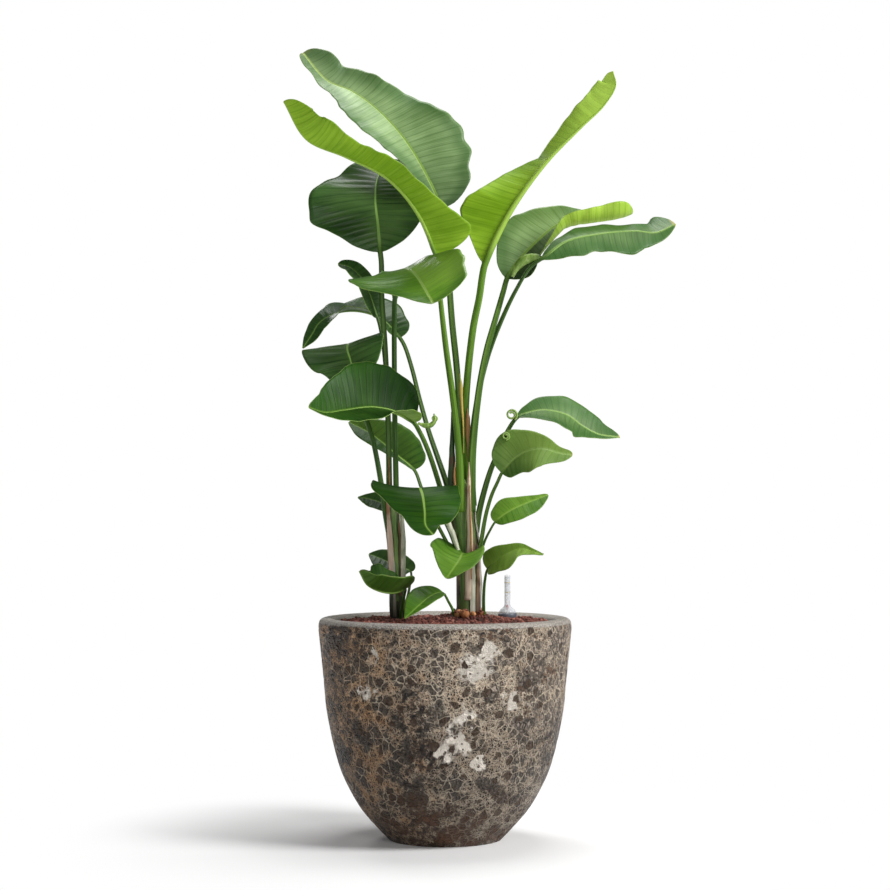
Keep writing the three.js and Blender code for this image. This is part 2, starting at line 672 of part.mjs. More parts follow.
// Hole in the granules for the pipe and its ring
function gaugeShaft() {
  const { pipe, flange, floor } = GAUGE;
  const ringFoot = RING_TOP - 8 - GAP;
  return solidOf(circle([
    [0, floor - GAP], [pipe + GAP, floor - GAP], [pipe + GAP, ringFoot], [flange + GAP, ringFoot + 1],
    [flange + GAP, RING_TOP + 20], [0, RING_TOP + 20],
  ]));
}

function gaugeFloat() {
  const { floor } = GAUGE;
  const low = floor + 3 + GAP;
  const { radius, height, rod } = FLOAT;
  return circle([
    [0, low], [radius - 1, low], [radius, low + 1], [radius, low + height - 3],
    [radius - 3, low + height], [rod, low + height], [rod, markerFoot() - GAP], [0, markerFoot() - GAP],
  ]);
}

const markerFoot = () => SOIL.level + 17;

function floatMarker() {
  const low = markerFoot();
  const { head } = FLOAT;
  return circle([[0, low], [head, low], [head, low + 7], [head - 1, low + 8], [0, low + 8]]);
}

// Assembly

const FINISH = {
  glaze: { color: 0x5a4c40, roughness: 0.8 },
  granules: { color: 0x8c4a36, roughness: 0.95 },
  sheath: { color: 0x6f8040, roughness: 0.6 },
  leaf: { color: 0x2f5d1e, roughness: 0.4 },
  housing: { color: 0x3c3f42, roughness: 0.5 },
  window: { color: 0xe8eef0, roughness: 0.05, transparent: true, opacity: 0.35 },
  float: { color: 0xf0f0ea, roughness: 0.5 },
  marker: { color: 0xc8202a, roughness: 0.4 },
};

const part = new THREE.Group();

function add(name, geometry, finish) {
  const mesh = new THREE.Mesh(geometry, new THREE.MeshStandardMaterial({ metalness: 0, ...FINISH[finish] }));
  mesh.name = name;
  part.add(mesh);
}

const stalks = Object.values(LEAVES).map(stalkSolid);
const crowns = Object.fromEntries(Object.entries(CROWNS).map(([name, crown]) => [name, crownSolid(crown)]));

function grownCrown(crown) {
  const grown = {
    ...crown,
    halfWidths: crown.halfWidths.map((r) => r + GAP / 0.9),
    halfDepths: crown.halfDepths.map((r) => r + GAP / 0.9),
    places: crown.places.map(([x, y, z], i) => [x, y, i === 0 ? z - GAP : z]),
  };
  return crownSolid(grown);
}

let soil = soilSolid();
for (const ball of clayBalls()) soil = soil.add(ball);
for (const crown of Object.values(CROWNS)) soil = soil.subtract(grownCrown(crown));
for (const stalk of stalks) soil = soil.subtract(stalk);
soil = soil.subtract(gaugeShaft());

add("pot", potGeometry(), "glaze");
add("substrate", geometryOfSolid(soil), "granules");
for (const [name, crown] of Object.entries(crowns)) {
  const socketed = stalks.reduce((solid, stalk) => solid.subtract(stalk), crown);
  add(name, geometryOfSolid(socketed), "sheath");
}
for (const [name, leaf] of Object.entries(LEAVES)) add(name, leafGeometry(leaf), "leaf");
add("gauge_housing", gaugeHousing(), "housing");
add("gauge_window", gaugeWindow(), "window");
add("gauge_float", gaugeFloat(), "float");
add("float_marker", floatMarker(), "marker");

export default part;
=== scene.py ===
# %% [markdown]
# # A bird of paradise in a planter
# The plant has two clumps of large leaves on long stalks. It grows in a round planter with a cratered glaze,
# filled with clay granules, and a water gauge stands in them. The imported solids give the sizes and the
# places. This script dresses them: each step says what a piece is on the real plant, how it could be made,
# and why it is made this way. All sizes in the tables are in millimetres.

# %% Load the solids
import math
import random

import bmesh
import bpy
from mathutils import Matrix, Vector, noise
from mathutils.bvhtree import BVHTree
from mathutils.geometry import interpolate_bezier


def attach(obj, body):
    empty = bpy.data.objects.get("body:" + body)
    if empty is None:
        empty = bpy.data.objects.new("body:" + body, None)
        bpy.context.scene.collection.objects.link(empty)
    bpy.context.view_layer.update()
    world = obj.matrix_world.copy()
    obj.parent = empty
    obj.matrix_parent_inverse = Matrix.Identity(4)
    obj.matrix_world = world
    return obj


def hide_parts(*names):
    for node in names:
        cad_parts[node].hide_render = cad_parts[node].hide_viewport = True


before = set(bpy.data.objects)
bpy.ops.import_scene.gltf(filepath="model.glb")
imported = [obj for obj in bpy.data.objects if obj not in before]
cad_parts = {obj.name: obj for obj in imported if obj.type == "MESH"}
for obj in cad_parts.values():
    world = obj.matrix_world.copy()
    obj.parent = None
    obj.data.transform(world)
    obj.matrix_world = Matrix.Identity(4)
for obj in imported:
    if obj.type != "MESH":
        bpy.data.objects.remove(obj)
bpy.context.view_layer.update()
# A millimetre, and how close points lie that become one, in metres
MM = 0.001
MERGE = 1e-6
# Left alone, Blender starts its vector noise from the clock, and each run would differ. This start draws
# the glaze that the checks were looked at with
NOISE_SEED = 1795878339
noise.seed_set(NOISE_SEED)

# %% [markdown]
# ## The view
# The photograph was taken from a little above the planter's rim with a long lens, so the plant's stalks stay
# parallel. The camera stands 3.6 m away and is tilted up a little. It could be shifted instead, but a tilt
# gives the same picture here and keeps its sense when the camera goes round the plant.

# %% The camera
scene = bpy.context.scene
EYE = Vector((0, -3.6, 0.575))
AIM = Vector((0, 0, 0.669))
FOCAL_LENGTH = 85.2
FILM_WIDTH = 36
lens = bpy.data.cameras.new("view")
lens.lens = FOCAL_LENGTH
lens.sensor_width = FILM_WIDTH
camera = bpy.data.objects.new("view", lens)
camera.location = EYE
camera.rotation_euler = (AIM - EYE).to_track_quat("-Z", "Y").to_euler()
scene.collection.objects.link(camera)
scene.camera = camera
print("camera pitch:", round(math.degrees(camera.rotation_euler.x) - 90, 2), "degrees")

# %% [markdown]
# ## Small helpers
# A material is a tree of nodes. Writing each node and each link on lines of their own hides the idea, so one
# helper makes a node with its settings and its inputs, where an input is either a value or another node's
# output. The other helpers cover the few kinds of node that come again and again.

# %% Node helpers
def add_node(tree, kind, inputs=None, **settings):
    node = tree.nodes.new(kind)
    for name, value in settings.items():
        setattr(node, name, value)
    for name, value in (inputs or {}).items():
        if isinstance(value, bpy.types.NodeSocket):
            tree.links.new(value, node.inputs[name])
        else:
            node.inputs[name].default_value = value
    return node


def math_node(tree, operation, first, second=0.0, third=0.0):
    inputs = {0: first, 1: second, 2: third}
    return add_node(tree, "ShaderNodeMath", inputs, operation=operation).outputs[0]


def times(tree, first, second):
    return math_node(tree, "MULTIPLY", first, second)


def times_plus(tree, value, factor, more):
    return math_node(tree, "MULTIPLY_ADD", value, factor, more)


def smooth_range(tree, value, low, high, start=0.0, end=1.0):
    inputs = {"Value": value, "From Min": low, "From Max": high, "To Min": start, "To Max": end}
    return add_node(tree, "ShaderNodeMapRange", inputs, interpolation_type="SMOOTHSTEP").outputs[0]


def mix_colour(tree, share, first, second, blend="MIX"):
    inputs = {0: share, 6: first, 7: second}
    node = add_node(tree, "ShaderNodeMix", inputs, data_type="RGBA", blend_type=blend)
    return node.outputs[2]


def noise_value(tree, vector, scale, detail=4.0, roughness=0.5):
    inputs = {"Vector": vector, "Scale": scale, "Detail": detail, "Roughness": roughness}
    return add_node(tree, "ShaderNodeTexNoise", inputs).outputs["Fac"]


def vector_of(tree, x=0.0, y=0.0, z=0.0):
    return add_node(tree, "ShaderNodeCombineXYZ", {0: x, 1: y, 2: z}).outputs[0]


def parts_of(tree, vector):
    return add_node(tree, "ShaderNodeSeparateXYZ", {0: vector}).outputs


def vector_math(tree, operation, inputs):
    return add_node(tree, "ShaderNodeVectorMath", inputs, operation=operation).outputs


def object_place(tree):
    """The place of a point on its object, in metres."""
    return add_node(tree, "ShaderNodeTexCoord").outputs["Object"]


def stored(tree, name, output="Fac"):
    """A value that the mesh keeps on each of its points."""
    return add_node(tree, "ShaderNodeAttribute", attribute_name=name).outputs[output]


# %% Material helpers
def new_material(name):
    material = bpy.data.materials.new(name)
    material.use_nodes = True
    material.node_tree.nodes.clear()
    return material, material.node_tree


def shade(tree, inputs, height=None, strength=0.3, distance=0.001):
    if height is not None:
        bump = {"Height": height, "Strength": strength, "Distance": distance}
        inputs["Normal"] = add_node(tree, "ShaderNodeBump", bump).outputs[0]
    surface = add_node(tree, "ShaderNodeBsdfPrincipled", inputs)
    add_node(tree, "ShaderNodeOutputMaterial", {"Surface": surface.outputs[0]})


def rgb(red, green, blue):
    return (red, green, blue, 1.0)


# %% A node group from its inputs and outputs
def new_group(name, inputs, outputs):
    group = bpy.data.node_groups.new(name, "ShaderNodeTree")
    for title, value in inputs.items():
        socket = group.interface.new_socket(name=title, in_out="INPUT", socket_type="NodeSocketFloat")
        socket.default_value = value
    for title in outputs:
        group.interface.new_socket(name=title, in_out="OUTPUT", socket_type="NodeSocketFloat")
    return group, group.nodes.new("NodeGroupInput"), group.nodes.new("NodeGroupOutput")


# %% Piece helpers
def finish_piece(name, bm, materials, nodes=(), body="planter"):
    """Turns a bmesh into an object that rides on a body and stands for the named solids."""
    mesh = bpy.data.meshes.new(name)
    bm.to_mesh(mesh)
    bm.free()
    mesh.shade_smooth()
    for material in materials:
        mesh.materials.append(material)
    piece = bpy.data.objects.new(name, mesh)
    scene.collection.objects.link(piece)
    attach(piece, body)
    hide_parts(*nodes)
    return piece


def new_grid(columns, rows):
    """A flat grid from -1 to 1. Each of its points is then moved to its place."""
    bm = bmesh.new()
    bmesh.ops.create_grid(bm, x_segments=columns, y_segments=rows, size=1)
    return bm


def thicken(piece, thickness, offset=-1, material_step=0):
    """Solidify gives a sheet its thickness, and its under side and rim the next materials."""
    shell = piece.modifiers.new("thickness", "SOLIDIFY")
    shell.thickness = thickness * MM
    shell.offset = offset
    shell.material_offset = material_step
    shell.material_offset_rim = 2 * material_step


# %% Lists along a length
def straight_along(values, s):
    """The value at share s of a list. A list of one value stays the same all along."""
    place = min(max(s, 0), 1) * (len(values) - 1)
    low = max(min(int(place), len(values) - 2), 0)
    high = min(low + 1, len(values) - 1)
    return values[low] + (values[high] - values[low]) * (place - low)


def smooth_along(values, s):
    place = min(max(s, 0), 1) * (len(values) - 1)
    low = min(int(place), len(values) - 2)
    a, b, c, d = [values[min(max(low + k, 0), len(values) - 1)] for k in (-1, 0, 1, 2)]
    t = place - low
    return b + 0.5 * t * (c - a + t * (2 * a - 5 * b + 4 * c - d + t * (3 * (b - c) + d - a)))


def smooth_step(low, high, value):
    t = min(max((value - low) / (high - low), 0), 1)
    return t * t * (3 - 2 * t)


# %% [markdown]
# ## The line of a leaf
# Stalk and midrib are one line in space, from the foot in the crown to the leaf's tip. The points are few and
# given, and a smooth curve runs through them. A centripetal Catmull-Rom curve doesn't overshoot
# between uneven points, and each stretch of it is a Bézier stretch, which Blender can evaluate.

# %% A smooth line through given points
LINE_STEPS = 40


def line_through(points):
    knots = [Vector(p) for p in points]
    knots = [2 * knots[0] - knots[1], *knots, 2 * knots[-1] - knots[-2]]
    places = []
    for a, b, c, d in zip(knots, knots[1:], knots[2:], knots[3:]):
        first, middle, last = [(q - p).length ** 0.5 for p, q in ((a, b), (b, c), (c, d))]
        out = ((b - a) / first - (c - a) / (first + middle) + (c - b) / middle) * middle
        into = ((c - b) / middle - (d - b) / (middle + last) + (d - c) / last) * middle
        places += interpolate_bezier(b, b + out / 3, c - into / 3, c, LINE_STEPS + 1)[:-1]
    places.append(knots[-2])
    run = [0.0]
    for here, there in zip(places, places[1:]):
        run.append(run[-1] + (there - here).length)
    return places, run


def place_on(line, distance):
    """The point and the direction at a distance along a line."""
    places, run = line
    low, high = 1, len(run) - 1
    while low < high:
        middle = (low + high) // 2
        if run[middle] < distance:
            low = middle + 1
        else:
            high = middle
    share = (distance - run[low - 1]) / (run[low] - run[low - 1])
    return places[low - 1].lerp(places[low], share), (places[low] - places[low - 1]).normalized()


def leaf_frame(line, leaf, distance, s):
    """Point, right, up and forward of a leaf, where up is the side that faces the sky."""
    point, forward = place_on(line, distance)
    face = Vector([straight_along([f[k] for f in leaf["face"]], s) for k in range(3)])
    up = (face - forward * face.dot(forward)).normalized()
    return point, forward.cross(up), up, forward


# %% [markdown]
# ## The blade
# A blade has two halves that meet at the midrib. Each half has its own list of widths, because wind and age
# leave no two alike, and each is folded up from the rib, rolled and waved. The blade could be cut from a flat
# outline and bent, but the roll of these leaves is what makes the plant. So a plain grid is made with
# `create_grid`, and each of its points is moved to its place on the leaf. Shallow pleats follow the side
# veins, and the margin ripples a little.

# %% Blade sizes
BLADE = {"thickness": 0.9, "lobe": 0.14, "sweep": 0.2, "base": 0.09, "tip": 0.09, "least_curl": 1e-4}
RIB = {"least": 0.9, "margin": 0.8, "sink": 0.3, "columns": 2}
VEIN_SLANT = 0.2
GRIDS = {"large": (17, 190), "small": (11, 96)}
ROWS = {"even": 0.55, "eased": 0.45}


def round_end(share):
    return math.sqrt(1 - (1 - min(share, 1)) ** 2)


def half_width(half, s):
    return smooth_along(half["width"], s) * round_end(s / BLADE["base"]) * round_end((1 - s) / BLADE["tip"])


def blade_offset(half, side, s, t, width, lift):
    """Across, up and forward of a point at share t of a half-blade, from the rib to the margin."""
    fold = math.radians(straight_along(half["fold"], s))
    curl = math.radians(straight_along(half.get("curl", [0]), s)) or BLADE["least_curl"]
    angle = fold + curl * t
    height, count, phase = half.get("wave", (0, 1, 0))
    wave = height * t * t * math.sin(2 * math.pi * (count * s + phase)) * math.sin(math.pi * s) + lift
    across = width * (math.sin(angle) - math.sin(fold)) / curl - wave * math.sin(angle)
    up = width * (math.cos(fold) - math.cos(angle)) / curl + wave * math.cos(angle)
    forward = width * t * t * (BLADE["sweep"] * s - half.get("lobe", BLADE["lobe"]) * (1 - s) ** 4)
    return side * across, up, forward


# %% Pleats and ripples of a blade
PLEAT = {"pitch": 19.0, "height": 0.5, "drift": 1.3, "base": (0.03, 0.2), "end": (0.7, 1.0)}
RIPPLE = {"height": 3.2, "full_width": 40}
SCALLOP = {"share": 0.07}
WANDER = {
    # length along the leaf in millimetres, and two shifts that keep the noises apart
    "pleat_drift": (90, 4.0, 2),
    "pleat_strength": (45, 3.0, 8),
    "ripple": (24, 9.0, 5),
    "scallop": (21, 5.0, 11),
}


def wander(kind, distance, side, seed):
    length, side_shift, seed_shift = WANDER[kind]
    return noise.noise(Vector((distance / length, side * side_shift, seed + seed_shift)))


def relief(look, reach, width, distance, side, seed):
    """Height over the plain blade, in millimetres."""
    t = reach / width
    drift = PLEAT["drift"] * wander("pleat_drift", distance, side, seed)
    phase = (distance + VEIN_SLANT * reach) / look.get("pitch", PLEAT["pitch"]) + drift
    rise = smooth_step(*PLEAT["base"], t) * (1 - smooth_step(*PLEAT["end"], t))
    strength = look.get("pleats", 1.0) * (0.5 + wander("pleat_strength", distance, side, seed))
    pleat = PLEAT["height"] * strength * rise * math.sin(2 * math.pi * phase)
    ripple = RIPPLE["height"] * t ** 5 * wander("ripple", distance, side, seed)
    return pleat + ripple * min(width / RIPPLE["full_width"], 1)


def scallop(distance, side, seed):
    """The margin bulges a little between its side veins, more on some stretches than on others."""
    return 1 + SCALLOP["share"] * wander("scallop", distance, side, seed)


# %% [markdown]
# A blade is about a millimetre thick. Solidify gives the grid its under side and its rim, and hands each of
# them a material of its own: the upper side is waxy and dark, the under side paler, and the rim nearly
# yellow. Every point keeps its place on the leaf in an attribute, so that the veins can follow the leaf
# however it is rolled.

# %% Places on a blade
def even_rows(w):
    """Rows lie closer together near the base and the tip, where the outline turns fast."""
    return ROWS["even"] * w + ROWS["eased"] * (0.5 - 0.5 * math.cos(math.pi * w))


def reach_of(column, columns, rib, width):
    """Distance of a column from the rib's middle. The first columns lie on the rib itself."""
    on_rib = RIB["columns"]
    if column <= on_rib:
        return rib * column / on_rib
    return rib + (width - rib) * (column - on_rib) / (columns - on_rib)


# %% Make a blade
def make_blade(name, leaf, line, foot, seed):
    length = line[1][-1] - foot
    look = LOOKS[leaf["look"]]
    columns, rows = GRIDS["large" if leaf.get("large") else "small"]
    bm = new_grid(2 * columns, rows)
    place_layer = bm.verts.layers.float_vector.new("leaf_place")
    share_layer = bm.verts.layers.float.new("leaf_share")
    light_and_shade_layer = bm.verts.layers.float.new("leaf_light_and_shade")
    stations = {}
    for vert in bm.verts:
        row = round((vert.co.y + 1) / 2 * rows)
        column = round(abs(vert.co.x) * columns)
        side = -1 if vert.co.x < 0 else 1
        if row not in stations:
            s = even_rows(row / rows)
            stations[row] = (s, leaf_frame(line, leaf, foot + length * s, s))
        s, (point, right, up, forward) = stations[row]
        half = leaf["left"] if side < 0 else leaf["right"]
        rib = max(leaf["radius"][-1] * (1 - s), RIB["least"])
        width = max(half_width(half, s) * scallop(length * s, side, seed), rib + RIB["margin"])
        reach = reach_of(column, columns, rib, width)
        lift = relief(look, reach, width, length * s, side, seed)
        lift -= RIB["sink"] * rib * max(0, 1 - reach / rib) ** 2
        across, above, ahead = blade_offset(half, side, s, reach / width, width, lift)
        vert.co = (point + right * across + up * above + forward * ahead) * MM
        vert[place_layer] = Vector((side * reach, length * s, width - reach)) * MM
        vert[share_layer] = s
        # The half's tone of painted light and shade, from base to tip
        vert[light_and_shade_layer] = straight_along(half.get("tone", [1]), s)
    materials = LEAF_MATERIALS[leaf["look"]]
    blade = finish_piece(name.replace("leaf", "blade"), bm, materials, [name])
    thicken(blade, BLADE["thickness"], material_step=1)


# %% [markdown]
# ## The stalk
# The stalk is round below and has a channel along its upper side. Under the blade it goes on as the midrib
# and gets thinner to the tip. It could be a curve with a round bevel, but the channel always has to face the
# way the leaf faces. So a grid is rolled into a tube, ring by ring, with the same frame as the blade.

# %% A stalk's section
STALK = {
    "top": 0.6, "channel": 0.25, "channel_width": 0.35, "sides": 20, "step": 6.0,
    "taper": 0.9, "least": 0.7, "drop": 0.45, "drop_length": 0.05,
}


def stalk_section(turn, radius):
    """Across and up of a point on a stalk's section, where turn 0 is the middle of the channel."""
    across = radius * math.sin(turn)
    up = radius * math.cos(turn)
    if up > 0:
        up *= STALK["top"] - STALK["channel"] * math.exp(-((turn / STALK["channel_width"]) ** 2))
    return across, up


def stalk_radius(leaf, distance, foot, s):
    """Radius, and how far the midrib sinks under the blade, at share s of the blade."""
    if s <= 0:
        return straight_along(leaf["radius"], distance / foot), 0
    radius = max(leaf["radius"][-1] * (1 - s) ** STALK["taper"], STALK["least"])
    return radius, STALK["drop"] * radius * smooth_step(0, STALK["drop_length"], s)


# %% Make a stalk
def close_tube(bm):
    """Joins the seam of a rolled grid and fills its ends."""
    bmesh.ops.remove_doubles(bm, verts=bm.verts, dist=MERGE)
    bmesh.ops.holes_fill(bm, edges=bm.edges)
    bmesh.ops.recalc_face_normals(bm, faces=bm.faces)


def make_stalk(name, leaf, line, foot):
    end = line[1][-1]
    rows = round(end / STALK["step"])
    bm = new_grid(STALK["sides"], rows)
    place_layer = bm.verts.layers.float_vector.new("stalk_place")
    frames = {}
    for vert in bm.verts:
        row = round((vert.co.y + 1) / 2 * rows)
        turn = -math.pi * vert.co.x
        distance = end * row / rows
        s = max((distance - foot) / (end - foot), 0)
        if row not in frames:
            frames[row] = leaf_frame(line, leaf, distance, s)
        point, right, up, forward = frames[row]
        radius, drop = stalk_radius(leaf, distance, foot, s)
        across, above = stalk_section(turn, radius)
        vert.co = (point + right * across + up * (above - drop)) * MM
        vert[place_layer] = (math.cos(turn), distance * MM, s)
    close_tube(bm)
    material = STALK_MATERIALS[LOOKS[leaf["look"]]["stalk"]]
    finish_piece(name.replace("leaf", "stalk"), bm, [material], [name])


# %% [markdown]
# ## The finish of the leaves
# Side veins leave the midrib close together and run nearly straight to the margin. Light catches them as
# fine streaks. A picture of a leaf could be wrapped on, but it would repeat on every leaf, so the pattern is
# worked out: it reads each point's distance from the midrib, along the leaf and from the margin. All leaves
# share one node group, and each look places it with its own colours.

# %% The leaf pattern group
LEAF_VALUES = {"Vein Pitch": 0.011, "Margin Width": 0.0011, "Rib Width": 0.0035}
LEAF_OUTPUTS = ["Streak", "Band", "Blotch", "Margin Shade", "Margin", "Midrib", "Tip", "Height"]


def build_leaf_pattern():
    group, given, result = new_group("leaf_pattern", LEAF_VALUES, LEAF_OUTPUTS)
    parts = parts_of(group, stored(group, "leaf_place", "Vector"))
    coords = object_place(group)
    reach = math_node(group, "ABSOLUTE", parts[0])
    side = math_node(group, "SIGN", parts[0])
    wobble = times(group, noise_value(group, coords, 16.0, 1.0), 0.004)
    slant = times_plus(group, reach, VEIN_SLANT, parts[1])
    vein = math_node(group, "ADD", slant, wobble)
    fine = times(group, vein, 620.0)
    coarse = times(group, vein, 120.0)
    drawn = times(group, reach, 9.0)
    apart = times(group, side, 7.0)
    thin = noise_value(group, vector_of(group, fine, drawn, apart), 1.0, 3.0, 0.6)
    wide = noise_value(group, vector_of(group, coarse, drawn, apart), 1.0, 3.0, 0.6)
    streak = times_plus(group, thin, 0.55, times(group, wide, 0.45))
    turns = math_node(group, "DIVIDE", times(group, vein, 2 * math.pi), given.outputs["Vein Pitch"])
    band = smooth_range(group, math_node(group, "SINE", turns), 0.72, 1.0)
    blotch = noise_value(group, coords, 11.0, 2.0)
    margin = smooth_range(group, parts[2], 0.0, given.outputs["Margin Width"], 1.0, 0.0)
    # Painted shade: a band along the margin, broken by the blotches
    edge = smooth_range(group, times_plus(group, blotch, -0.04, parts[2]), -0.012, 0.016, 1.0, 0.0)
    midrib = smooth_range(group, reach, 0.0, given.outputs["Rib Width"], 1.0, 0.0)
    tip = smooth_range(group, stored(group, "leaf_share"), 0.975, 1.0)
    height = times_plus(group, band, -0.4, streak)
    made = [streak, band, blotch, edge, margin, midrib, tip, height]
    for title, socket in zip(LEAF_OUTPUTS, made):
        group.links.new(socket, result.inputs[title])
    return group


LEAF_PATTERN = build_leaf_pattern()
print("leaf pattern:", ", ".join(LEAF_OUTPUTS))

# %% [markdown]
# The looks of the leaves differ much: the two tallest show their bright under sides against the light, paler
# by nature and brighter still as painted light shining through; others are grey-green, with the sky's sheen
# painted into their colour; and the ones in the shade are nearly black-green. Each look names the colours of
# the upper side and the under side, a darker and a lighter one that the veins mix, and how much painted shade
# darkens it toward the margins. A leaf also keeps a tone of painted light and shade on each point. It draws
# the colour toward a painted shade green where a neighbour shades it, and toward a painted light green where
# light shines through.

# %% Looks of the leaves
LOOKS = {
    # The grey in these colours is the sky's sheen, painted into the leaf's green
    "painted_sheen": {
        "upper": [rgb(0.11, 0.2, 0.06), rgb(0.3, 0.44, 0.19)],
        "under": [rgb(0.17, 0.32, 0.012), rgb(0.36, 0.54, 0.06)],
        "rib": rgb(0.5, 0.62, 0.2), "roughness": (0.34, 0.5), "gloss": 0.32, "stalk": "green",
        "pleats": 0.6, "edge": 0.6,
    },
    # The grey-green here is partly the leaf's own colour and partly the sky's sheen painted in
    "grey": {
        "upper": [rgb(0.05, 0.11, 0.025), rgb(0.14, 0.25, 0.075)],
        "under": [rgb(0.12, 0.24, 0.03), rgb(0.24, 0.4, 0.07)],
        "rib": rgb(0.3, 0.45, 0.12), "roughness": (0.36, 0.5), "gloss": 0.28, "stalk": "dark",
        "pleats": 0.5, "edge": 0.6, "withered": 0.9,
    },
    # These under sides are paler by nature and brighter still, as painted light shining through the leaf
    "bright": {
        "upper": [rgb(0.03, 0.08, 0.01), rgb(0.08, 0.17, 0.025)],
        "under": [rgb(0.13, 0.27, 0.004), rgb(0.27, 0.46, 0.025)],
        "rib": rgb(0.26, 0.42, 0.04), "roughness": (0.4, 0.55), "gloss": 0.15, "stalk": "light",
    },
    "glossy": {
        "upper": [rgb(0.06, 0.18, 0.008), rgb(0.19, 0.37, 0.035)],
        "under": [rgb(0.08, 0.17, 0.012), rgb(0.18, 0.32, 0.03)],
        "rib": rgb(0.42, 0.58, 0.14), "roughness": (0.22, 0.38), "gloss": 0.25, "stalk": "dark",
        "pleats": 0.6, "edge": 0.5,
    },
    "deep": {
        "upper": [rgb(0.01, 0.045, 0.003), rgb(0.05, 0.14, 0.012)],
        "under": [rgb(0.1, 0.22, 0.015), rgb(0.22, 0.38, 0.05)],
        "rib": rgb(0.14, 0.28, 0.035), "roughness": (0.25, 0.42), "gloss": 0.07, "stalk": "green",
        "pleats": 0.35,
    },
    "shade": {
        "upper": [rgb(0.015, 0.05, 0.005), rgb(0.075, 0.16, 0.02)],
        "under": [rgb(0.04, 0.1, 0.01), rgb(0.1, 0.2, 0.03)],
        "rib": rgb(0.14, 0.26, 0.04), "roughness": (0.3, 0.45), "gloss": 0.12, "stalk": "green",
    },
    "dark": {
        "upper": [rgb(0.012, 0.04, 0.007), rgb(0.07, 0.14, 0.035)],
        "under": [rgb(0.02, 0.06, 0.008), rgb(0.07, 0.14, 0.02)],
        "rib": rgb(0.1, 0.2, 0.04), "roughness": (0.28, 0.45), "gloss": 0.2, "stalk": "dark",
        "pleats": 0.9, "pitch": 11.0,
    },
    "fresh": {
        "upper": [rgb(0.045, 0.13, 0.005), rgb(0.12, 0.27, 0.018)],
        "under": [rgb(0.08, 0.2, 0.01), rgb(0.2, 0.36, 0.03)],
        "rib": rgb(0.16, 0.33, 0.03), "roughness": (0.3, 0.45), "gloss": 0.12, "stalk": "green",
    },
    "middle": {
        "upper": [rgb(0.065, 0.18, 0.01), rgb(0.19, 0.37, 0.04)],
        "under": [rgb(0.1, 0.22, 0.015), rgb(0.22, 0.4, 0.04)],
        "rib": rgb(0.24, 0.42, 0.05), "roughness": (0.34, 0.48), "gloss": 0.14, "stalk": "green",
    },
    "mild": {
        "upper": [rgb(0.08, 0.17, 0.028), rgb(0.22, 0.36, 0.09)],
        "under": [rgb(0.1, 0.2, 0.03), rgb(0.2, 0.33, 0.07)],
        "rib": rgb(0.3, 0.45, 0.14), "roughness": (0.36, 0.5), "gloss": 0.22, "stalk": "green",
        "pleats": 0.35, "edge": 0.4, "withered": 0.9,
    },
}
# A look's edge is how strongly it paints shade toward the margins, and withered is how brown its tip turns
PLAIN_LOOK = {"edge": 0.3, "withered": 0.15}
UNDER_SIDE = {"roughness": (0.4, 0.6), "gloss": 0.15, "edge": 0.0}
MARGIN_COLOUR = rgb(0.3, 0.42, 0.1)
PAINTED_SHADE_GREEN = rgb(0.004, 0.018, 0.002)
MARGIN_SHADE_GREEN = rgb(0.025, 0.1, 0.012)
PAINTED_LIGHT_GREEN = rgb(0.5, 0.7, 0.13)
TIP_COLOUR = rgb(0.36, 0.3, 0.06)


# %% Leaf materials
def leaf_material(name, dark, light, look):
    """One side of a leaf. The look gives rib, roughness, gloss, edge (its painted shade toward the margins)
    and withered.
    """
    material, tree = new_material(name)
    made = add_node(tree, "ShaderNodeGroup", LEAF_VALUES, node_tree=LEAF_PATTERN).outputs
    share = times_plus(tree, made["Streak"], 0.9, times(tree, made["Blotch"], 0.9))
    share = times_plus(tree, made["Band"], -0.12, share)
    colour = mix_colour(tree, smooth_range(tree, share, 0.62, 1.2), dark, light)
    # Painted shade toward the margins, strongest on the looks that carry painted sheen
    colour = mix_colour(tree, times(tree, made["Margin Shade"], look["edge"]), colour, MARGIN_SHADE_GREEN)
    # Painted shade and light: a tone below 1 darkens the colour toward a shade green, above 1 lightens it
    # toward a light green
    tone = stored(tree, "leaf_light_and_shade")
    colour = mix_colour(tree, tone, PAINTED_SHADE_GREEN, colour)
    colour = mix_colour(tree, math_node(tree, "SUBTRACT", tone, 1.0), colour, PAINTED_LIGHT_GREEN)
    colour = mix_colour(tree, times(tree, made["Midrib"], 0.75), colour, look["rib"])
    colour = mix_colour(tree, times(tree, made["Margin"], 0.4), colour, MARGIN_COLOUR)
    colour = mix_colour(tree, times(tree, made["Tip"], look["withered"]), colour, TIP_COLOUR)
    smooth, rough = look["roughness"]
    roughness = smooth_range(tree, made["Streak"], 0.3, 0.75, rough, smooth)
    inputs = {"Base Color": colour, "Roughness": roughness, "Specular IOR Level": look["gloss"]}
    shade(tree, inputs, made["Height"], 0.35, 0.0006)
    return material


def margin_material():
    material, tree = new_material("leaf_margin")
    spots = smooth_range(tree, noise_value(tree, object_place(tree), 40.0), 0.55, 0.75)
    colour = mix_colour(tree, spots, rgb(0.2, 0.33, 0.06), rgb(0.2, 0.14, 0.04))
    shade(tree, {"Base Color": colour, "Roughness": 0.5})
    return material


LEAF_RIM = margin_material()
LEAF_MATERIALS = {}
for name, colours in LOOKS.items():
    look = {**PLAIN_LOOK, **colours}
    upper = leaf_material("leaf_%s_upper" % name, *look["upper"], look)
    under = leaf_material("leaf_%s_under" % name, *look["under"], {**look, **UNDER_SIDE})
    LEAF_MATERIALS[name] = [upper, under, LEAF_RIM]
print("leaf materials:", 2 * len(LOOKS) + 1)

# %% [markdown]
# ## The finish of the stalks
# A stalk is smooth and waxy, with fine lines along it. Where it becomes the midrib it turns pale. The
# attribute holds the place round the stalk, along it and on the blade.

